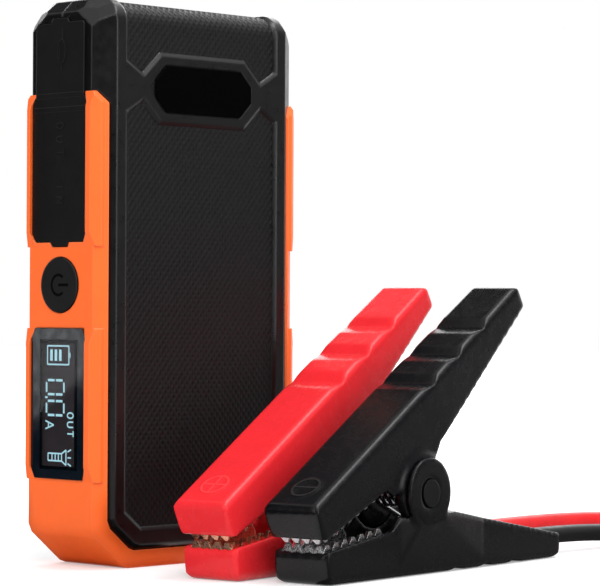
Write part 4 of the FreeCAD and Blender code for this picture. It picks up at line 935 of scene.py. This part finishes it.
# Each letter's strokes in a square of one unit, with (0, 0) at its left foot
LETTERS = {
    "O": [arc((0.5, 0.5), 0.5, 90, 450, 24, 0.72)],
    "U": [[(0.15, 1.0), (0.15, 0.4)], arc((0.5, 0.4), 0.4, 180, 360, 12, 0.875),
          [(0.85, 0.4), (0.85, 1.0)]],
    "T": [[(0.1, 1.0), (0.9, 1.0)], [(0.5, 1.0), (0.5, 0.0)]],
    "I": [[(0.5, 1.0), (0.5, 0.0)]],
    "N": [[(0.15, 0.0), (0.15, 1.0)], [(0.15, 1.0), (0.85, 0.0)], [(0.85, 0.0), (0.85, 1.0)]],
    "A": [[(0.05, 0.0), (0.5, 1.0)], [(0.5, 1.0), (0.95, 0.0)], [(0.22, 0.36), (0.78, 0.36)]],
}


def written(word, start, height, step, slim=0.8):
    """The strokes of a word that reads downward, its letters' feet to the back.

    A letter's own point (u, v) stands at y = start minus v times the height and
    z = start minus (u times the letter's width, plus the step for each letter before it).
    """
    strokes = []
    for index, letter in enumerate(word):
        for stroke in LETTERS[letter]:
            u, v = np.asarray(stroke, float).T
            strokes.append(np.stack([start[0] - v * height,
                                     start[1] - index * step - u * slim * height], -1))
    return strokes


class FinishPorts(bpy.types.Operator):
    """Finishes the port cover, its raised marks and the ports behind it"""
    bl_idname = "jump_pack.finish_ports"
    bl_label = "Port cover and ports"

    def execute(self, context):
        values = context.scene.jump_cover
        # The cover's edges are lightened as a painted highlight
        rubber = moulded("cover_rubber", values.colour, 0.5, edge=0.0005, painted_highlight=values.rim_highlight,
                         highlight_radius=0.0004, specular=0.25)
        wear_all(("port_leaf_upper", "port_leaf_lower", "port_cover_anchor"), rubber)
        mark = moulded("cover_mark", values.mark, 0.4)
        width = values.mark_width / MM
        rise = values.mark_rise / MM
        words = []
        for word, place in PORT_WORDS:
            words += written(word, place, SIGN_HEIGHT, SIGN_STEP)
        for name, lines, leaf in (("clamp_sign", CLAMP_SIGN, "port_leaf_upper"),
                                  ("port_words", words, "port_leaf_lower")):
            piece = strips(name, lines, width, COVER_FACE, rise, mark)
            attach(piece, leaf)
        for name, leaf, middle, wide, (start, end) in COVER_WEBS:
            line = np.linspace((middle, start), (middle, end), 9)
            web = strips(name, [line], wide, COVER_FACE, WEB_RISE, rubber)
            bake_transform(web)
        bay = moulded("bay_plastic", (0.01, 0.01, 0.01), 0.45, edge=0.0002)
        wear_all(("port_bay", "jump_socket"), bay)
        steel = metal("port_steel", (0.55, 0.55, 0.56), 0.28, edge=0.0001)
        wear_all(("usb_port_upper", "usb_port_lower", "charge_port"), steel)
        wear("socket_contacts", metal("contact_brass", BRASS, 0.25))
        return {"FINISHED"}


BUTTON_FACE = -46.2
SIGN_CENTRE = (0.7, 92.85)
SIGN_RADIUS = 3.3


class FinishButton(bpy.types.Operator):
    """Finishes the power button and draws its sign"""
    bl_idname = "jump_pack.finish_button"
    bl_label = "Power button"

    def execute(self, context):
        values = context.scene.jump_button
        # The cap's edges are lightened as a painted highlight
        cap = moulded("button_plastic", values.plastic, 0.42, edge=0.0008,
                      painted_highlight=(0.03, 0.03, 0.031), highlight_radius=0.0004, specular=0.3)
        wear("power_button", cap)
        wear("button_switch", moulded("switch_plastic", (0.02, 0.02, 0.02), 0.5))
        y, z = SIGN_CENTRE
        lines = [arc(SIGN_CENTRE, SIGN_RADIUS, -132, 132, 40),
                 [(y, z), (y - 1.5 * SIGN_RADIUS, z)]]
        # The sign is drawn as dark strips, a painted shade in place of its engraving
        sign = strips("power_sign", lines, values.sign_width / MM, BUTTON_FACE, PRINT_RISE,
                      moulded("sign_paint", values.sign, 0.5, specular=0.05))
        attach(sign, "power_button")
        return {"FINISHED"}


# Where the display and its pane lie, and the pane's corners, as (y, z), and their cuts
MODULE_FACE = -44.8
PANE_FACE = -46.3
PANE_SIZE = ((-13.18, 29.22), (13.98, 78.58))
PANE_CUT = (1.8, 3.6)
PANE_OPENING = ((-9.2, 32.2), (9.6, 75.0))
FIELD_LINE = ((2.1, 73.7), (2.1, 33.2))
FIELD_WIDTH = 16.2
FIELD_RISE = 0.01
# The foot of each digit, as (y, z)
DIGITS = ((7.9, 61.5), (7.9, 54.65))
DIGIT_HEIGHT = 8.7
DIGIT_WIDTH = 4.65
DIGIT_GAP = 0.7
DECIMAL_POINT = ((8.0, 56.1), (8.0, 55.5))
BATTERY = ((-3.2, 72.8), (7.5, 66.7))
BATTERY_BARS = (5.5, 3.3, 1.1)
BAR_WIDTH = 1.25
TORCH_Z = 36.2
# A word, where it starts, its letters' height and step, and how slim they are
READOUT_WORDS = (("A", (8.4, 48.2), 4.2, 4.0, 0.7), ("OUT", (-2.6, 51.3), 2.9, 3.0, 0.85))


def digit_strokes(corner):
    """The six lit strokes of a nought whose foot is at this corner."""
    y, z = corner
    gap = DIGIT_GAP
    top = y - DIGIT_HEIGHT
    middle = y - DIGIT_HEIGHT / 2
    end = z - DIGIT_WIDTH
    strokes = []
    for level in (y, top):
        strokes.append([(level, z - gap), (level, end + gap)])
    for edge in (z, end):
        strokes.append([(y - gap, edge), (middle + gap / 2, edge)])
        strokes.append([(middle - gap / 2, edge), (top + gap, edge)])
    return strokes


def torch_strokes():
    """A little torch with its rays, drawn as lines: handle, flared head and three rays."""
    z = TORCH_Z
    lines = [[(y, z - 1.2), (y, z + 1.2)] for y in (7.0, 5.0, 3.4, 1.8, 0.2)]
    lines.append([(-2.0, z - 2.5), (-2.0, z + 2.5)])
    for side in (-1, 1):
        lines.append([(7.0, z + 1.2 * side), (0.2, z + 1.2 * side)])
        lines.append([(0.2, z + 1.2 * side), (-2.0, z + 2.5 * side)])
    for lean in (-1, 0, 1):
        lines.append([(-2.8, z + 1.9 * lean), (-4.5, z + 2.7 * lean)])
    return lines


def battery_strokes():
    """The battery's outline and its cap."""
    (tip, left), (foot, right) = BATTERY
    middle = (left + right) / 2
    return [[(tip, left), (foot, left)], [(tip, right), (foot, right)],
            [(tip, left), (tip, right)], [(foot, left), (foot, right)],
            [(tip - 0.6, middle - 0.8), (tip - 0.6, middle + 0.8)]]


class LightReadout(bpy.types.Operator):
    """Lights the figures of the display behind its window"""
    bl_idname = "jump_pack.light_readout"
    bl_label = "Display"

    def execute(self, context):
        values = context.scene.jump_readout
        wear("display_module", moulded("display_face", values.printed, 0.6, specular=0.05))
        wear("display_window", clear("window_pane", (0.004, 0.006, 0.008), 0.25))
        self.border(moulded("pane_print", values.printed, 0.12, grain=0.0, specular=0.35))
        dark = moulded("display_field", values.field, 0.6, specular=0.05)
        glow = lit("lit_figures", values.lit, 1.3)
        digits = [line for corner in DIGITS for line in digit_strokes(corner)]
        signs = battery_strokes() + torch_strokes()
        for word in READOUT_WORDS:
            signs += written(*word)
        (_, left), (_, right) = BATTERY
        bars = [[(y, left - 1.2), (y, right + 1.2)] for y in BATTERY_BARS]
        self.figure("readout_field", [FIELD_LINE], FIELD_WIDTH, FIELD_RISE, dark)
        self.figure("readout_digits", digits, values.stroke / MM, PRINT_RISE, glow)
        self.figure("readout_signs", signs, values.fine_stroke / MM, PRINT_RISE, glow)
        self.figure("readout_bars", bars + [DECIMAL_POINT], BAR_WIDTH, PRINT_RISE, glow)
        return {"FINISHED"}

    def border(self, material):
        """The pane's dark print: a thin loop between its eight-sided outline and the field.

        Four rings of eight points go round it: the outline behind and in front, then the
        field's edge in front and behind, each of its corners taken twice.
        """
        (y0, z0), (y1, z1) = PANE_SIZE
        a, b = PANE_CUT
        outer = [(y0 + a, z0), (y1 - a, z0), (y1, z0 + b), (y1, z1 - b), (y1 - a, z1),
                 (y0 + a, z1), (y0, z1 - b), (y0, z0 + b)]
        (right, foot), (left, top) = PANE_OPENING
        inner = [(right, foot), (left, foot), (left, foot), (left, top), (left, top),
                 (right, top), (right, top), (right, foot)]
        front = PANE_FACE - PRINT_RISE
        behind = PANE_FACE + PRINT_RISE
        rings = [np.c_[np.full(8, x), ring] for x, ring in
                 ((behind, outer), (front, outer), (front, inner), (behind, inner))]
        faces = quads_of(4, 8, loop_rows=True, loop_columns=True).tolist()
        piece = made("pane_border", np.stack(rings) * MM, faces, material, smooth=False)
        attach(piece, "pack")

    def figure(self, name, lines, width, rise, material):
        """Lines drawn on the display's face."""
        piece = strips(name, lines, width, MODULE_FACE, rise, material)
        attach(piece, "pack")


# inside
# Each cell lead's colour, its place across the pack and its height
CELL_LEADS = {"lead_positive": ("red", 12.0, 170.5), "lead_negative": ("black", -2.0, 161.5)}
CELL_LEAD_RADIUS = 2.0
CELL_LEAD_BEND = 8.0
CELL_TOP = 135.6
CONTACT_END = -24.3


def cell_lead_path(x, z):
    """A cell's lead: straight up, a quarter turn, and straight across to its contact.

    At way s, and with a = (s - up) / r kept between 0 and a right angle, the height is the
    lesser of s and up, plus r sin a, and the point has moved across by r (1 - cos a) and by
    what is left of s after the turn.
    """
    bend = CELL_LEAD_BEND
    rise = z - CELL_TOP - bend
    turn = bend * math.pi / 2
    total = rise + turn + x - bend - CONTACT_END
    way = np.linspace(0, total, int(total) + 2)
    angle = np.clip((way - rise) / bend, 0, math.pi / 2)
    across = x - bend * (1 - np.cos(angle)) - np.maximum(way - rise - turn, 0)
    height = CELL_TOP + np.minimum(way, rise) + bend * np.sin(angle)
    return np.stack([across, np.full_like(way, SIDE_LINE), height], -1) * MM


class FinishInside(bpy.types.Operator):
    """Finishes the cells, boards, tabs and leads inside the pack"""
    bl_idname = "jump_pack.finish_inside"
    bl_label = "Inside the pack"

    def execute(self, context):
        board = moulded("board_green", (0.02, 0.11, 0.05), 0.45, grain=0.3, grain_size=0.001)
        wear_all(("control_board", "main_board", "torch_board"), board)
        wrap = metal("cell_wrap", (0.6, 0.61, 0.63), 0.38, edge=0.0006)
        wear_all(("cell_front", "cell_middle", "cell_back"), wrap)
        wear("cell_tabs", metal("tab_nickel", (0.62, 0.6, 0.56), 0.3))
        foam = moulded("pad_foam", (0.04, 0.04, 0.045), 0.9, grain=0.8, grain_size=0.0008)
        wear_all(("cell_pad_front", "cell_pad_back"), foam)
        for node, (colour, x, z) in CELL_LEADS.items():
            piece = tube(f"{node}_jacket", cell_lead_path(x, z), CELL_LEAD_RADIUS * MM, (0, 1, 0),
                         lead_jacket(colour), 20)
            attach(piece, "pack")
            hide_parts(node)
        wear("torch_lens", clear("lens_clear", (0.85, 0.88, 0.9), 0.35))
        wear("torch_reflector", metal("reflector_bright", (0.8, 0.8, 0.82), 0.12))
        return {"FINISHED"}


# clamps
# The coil's radius, its rise in a turn and its turns, and how far out its legs reach
SPRING_COIL = 4.2
SPRING_PITCH = 2.5
SPRING_TURNS = 4
SPRING_REACH = 38.0
SPRING_CLEARANCE = 0.3
# How far the upper half is turned up about the pin
JAW_ANGLE = 31.6
# How thick the halves' backs are, and how much further from the pin the upper one lies
CLAMP_BACK = 3.8
UPPER_RISE = 1.35
# The sign's middle along the arm, from the pivot
RING_PLACE = -38.6
RING_RADIUS = 4.55
RING_WIDTH = 0.7
RING_RISE = 0.35


def on_table(points, colour):
    """Points of a clamp's own frame, in millimetres, at its place on the table, in metres.

    They are turned about the upright by its heading t, (x cos t - y sin t, x sin t + y cos t),
    and moved to its pivot.
    """
    x, y, heading = CLAMP_PLACES[colour]
    turn = math.radians(heading)
    across = points[..., 0] * math.cos(turn) - points[..., 1] * math.sin(turn) + x
    along = points[..., 0] * math.sin(turn) + points[..., 1] * math.cos(turn) + y
    return np.stack([across, along, points[..., 2] + PIVOT_HEIGHT], -1) * MM


def spring_path(wire):
    """A straight leg, a coil about the pin and a second leg.

    The coil's point at angle a is (r cos a, h (1 - 2 s), r sin a), where s runs from 0 to 1
    along the coil and h is half its length, and each leg leaves it along its tangent.
    """
    def leg(rise):
        offset = PIVOT_HEIGHT + rise - CLAMP_BACK - wire - SPRING_CLEARANCE
        distance = math.hypot(SPRING_REACH, offset)
        lean = math.atan2(offset, SPRING_REACH)
        return lean + math.acos(SPRING_COIL / distance), math.sqrt(distance**2 - SPRING_COIL**2)

    lower_angle, lower_leg = leg(0.0)
    upper_angle, upper_leg = leg(UPPER_RISE)
    start = -lower_angle
    finish = math.radians(JAW_ANGLE) + upper_angle - 2 * math.pi * (SPRING_TURNS + 1)
    half = SPRING_PITCH * (start - finish) / (4 * math.pi)
    share = np.linspace(0, 1, 260)
    angle = start + (finish - start) * share
    coil = np.stack([SPRING_COIL * np.cos(angle), half * (1 - 2 * share),
                     SPRING_COIL * np.sin(angle)], -1)

    def heading(a):
        return np.array([math.sin(a), 0.0, -math.cos(a)])

    way = np.linspace(1, 0, 12)[:-1, None]
    first = coil[0] - heading(start) * lower_leg * way
    last = coil[-1] + heading(finish) * upper_leg * way[::-1]
    return np.concatenate([first, coil, last]), half


def on_arm(points, colour):
    """Points of the upper half's back, (out, across, along) in millimetres, at their place.

    They are turned about the pin by the jaw's angle, as the half is.
    """
    turn = math.radians(JAW_ANGLE)
    along = points[..., 2]
    height = PIVOT_HEIGHT + UPPER_RISE - points[..., 0]
    turned = [along * math.cos(turn) - height * math.sin(turn), points[..., 1],
              along * math.sin(turn) + height * math.cos(turn)]
    return on_table(np.stack(turned, -1), colour)


class FinishClamps(bpy.types.Operator):
    """Finishes the clamps' halves, jaws, rivets and pins"""
    bl_idname = "jump_pack.finish_clamps"
    bl_label = "Clamps"

    def execute(self, context):
        values = context.scene.jump_clamps
        steel = metal("pin_steel", (0.03, 0.03, 0.032), 0.4, edge=0.0004)
        jaws = {"red": metal("jaw_copper", (0.83, 0.45, 0.3), 0.3, edge=0.0002),
                "black": metal("jaw_steel", (0.6, 0.6, 0.61), 0.25, edge=0.0002)}
        for colour in ("red", "black"):
            plastic = moulded(f"{colour}_clamp_plastic", getattr(values, colour), 0.26,
                              cloud=0.05, specular=0.22, grain=0.0)
            for half, body in (("lower", "pack"), ("upper", f"{colour}_jaw")):
                piece = softened(f"{colour}_{half}_shell", f"{colour}_{half}_half",
                                 values.cell, values.rounds, plastic)
                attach(piece, body)
                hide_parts(f"{colour}_{half}_shell")
            # The lighter colour paints the highlight that the raised ring catches
            lightened_sign = getattr(values, f"{colour}_sign")
            self.sign(colour, moulded(f"{colour}_sign_plastic", lightened_sign, 0.35, grain=0.0))
            wear_all([f"{colour}_{part}" for part in ("lower_jaw", "upper_jaw")], jaws[colour])
            wear_all([f"{colour}_{part}" for part in ("lower_rivet", "upper_rivet", "pivot_pin")],
                     steel)
            self.lead_end(colour, context.scene.jump_leads.radius)
        return {"FINISHED"}

    def lead_end(self, colour, radius):
        """The straight end of the lead inside the clamp."""
        line = np.zeros((LEAD_INNER_POINTS, 3))
        line[:, 0] = np.linspace(LEAD_INNER_START, LEAD_START, LEAD_INNER_POINTS)
        line[:, 2] = LEAD_HEIGHT - PIVOT_HEIGHT
        piece = tube(f"{colour}_lead_end", on_table(line, colour), radius, (0, 0, 1),
                     lead_jacket(colour), 24)
        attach(piece, "pack")
        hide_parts(f"{colour}_inner_lead")

    def sign(self, colour, material):
        """The raised ring with its bar, or its cross on the red clamp."""
        half = RING_RADIUS - RING_WIDTH / 2
        lines = [arc((0, RING_PLACE), RING_RADIUS, 0, 360, 49),
                 [(-half, RING_PLACE), (half, RING_PLACE)]]
        if colour == "red":
            lines.append([(0, RING_PLACE - half), (0, RING_PLACE + half)])
        piece = strips(f"{colour}_sign", lines, RING_WIDTH, 0.0, RING_RISE, material,
                       lambda points: on_arm(points, colour))
        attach(piece, f"{colour}_jaw")


class WindSprings(bpy.types.Operator):
    """Winds the torsion spring of each clamp"""
    bl_idname = "jump_pack.wind_springs"
    bl_label = "Springs"

    def execute(self, context):
        wire = context.scene.jump_clamps.wire / MM
        steel = metal("spring_steel", (0.55, 0.55, 0.57), 0.22)
        path, half = spring_path(wire)
        for colour in ("red", "black"):
            turn = math.radians(CLAMP_PLACES[colour][2])
            pin = np.array([-math.sin(turn), math.cos(turn), 0.0])
            piece = tube(f"{colour}_coil", on_table(path, colour), wire * MM, pin, steel, 14)
            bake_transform(piece)
            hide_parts(f"{colour}_spring")
        return {"FINISHED"}


class FitPlug(bpy.types.Operator):
    """Finishes the plug, its boot and its pins"""
    bl_idname = "jump_pack.fit_plug"
    bl_label = "Plug"

    def execute(self, context):
        black = moulded("plug_plastic", (0.010, 0.010, 0.0105), 0.45, edge=0.0004)
        wear_all(("plug_body", "plug_boot"), black)
        wear("plug_pins", metal("plug_brass", BRASS, 0.25, edge=0.0003))
        return {"FINISHED"}


class ShowPieces(bpy.types.Panel):
    """Lists the makers of the pieces"""
    bl_idname = "VIEW3D_PT_jump_pack"
    bl_label = "Jump starter"
    bl_space_type = "VIEW_3D"
    bl_region_type = "UI"
    bl_category = "Jump starter"

    def draw(self, context):
        for operator in MAKERS:
            self.layout.operator(operator.bl_idname)
        for name in SETTING_GROUPS:
            box = self.layout.box()
            values = getattr(context.scene, name)
            for key in values.bl_rna.properties.keys():
                if key not in ("rna_type", "name"):
                    box.prop(values, key)


MAKERS = (PlaceCamera, LayLeads, SetStage, FinishHousing, PressPanels, PolishBadge, FinishPorts,
          FinishButton, LightReadout, FinishInside, FinishClamps, WindSprings, FitPlug)
SETTING_GROUPS = {
    "jump_camera": CameraSettings,
    "jump_studio": StudioSettings,
    "jump_housing": HousingSettings,
    "jump_panels": PanelSettings,
    "jump_cover": CoverSettings,
    "jump_button": ButtonSettings,
    "jump_readout": ReadoutSettings,
    "jump_clamps": ClampSettings,
    "jump_leads": LeadSettings,
}


def register():
    for settings in SETTING_GROUPS.values():
        bpy.utils.register_class(settings)
    for operator in MAKERS:
        bpy.utils.register_class(operator)
    bpy.utils.register_class(ShowPieces)
    for name, settings in SETTING_GROUPS.items():
        setattr(bpy.types.Scene, name, PointerProperty(type=settings))


def unregister():
    for name in SETTING_GROUPS:
        delattr(bpy.types.Scene, name)
    bpy.utils.unregister_class(ShowPieces)
    for operator in reversed(MAKERS):
        bpy.utils.unregister_class(operator)
    for settings in reversed(list(SETTING_GROUPS.values())):
        bpy.utils.unregister_class(settings)


def main():
    register()
    for operator in MAKERS:
        group, action = operator.bl_idname.split(".")
        getattr(getattr(bpy.ops, group), action)()


if __name__ == "__main__":
    main()
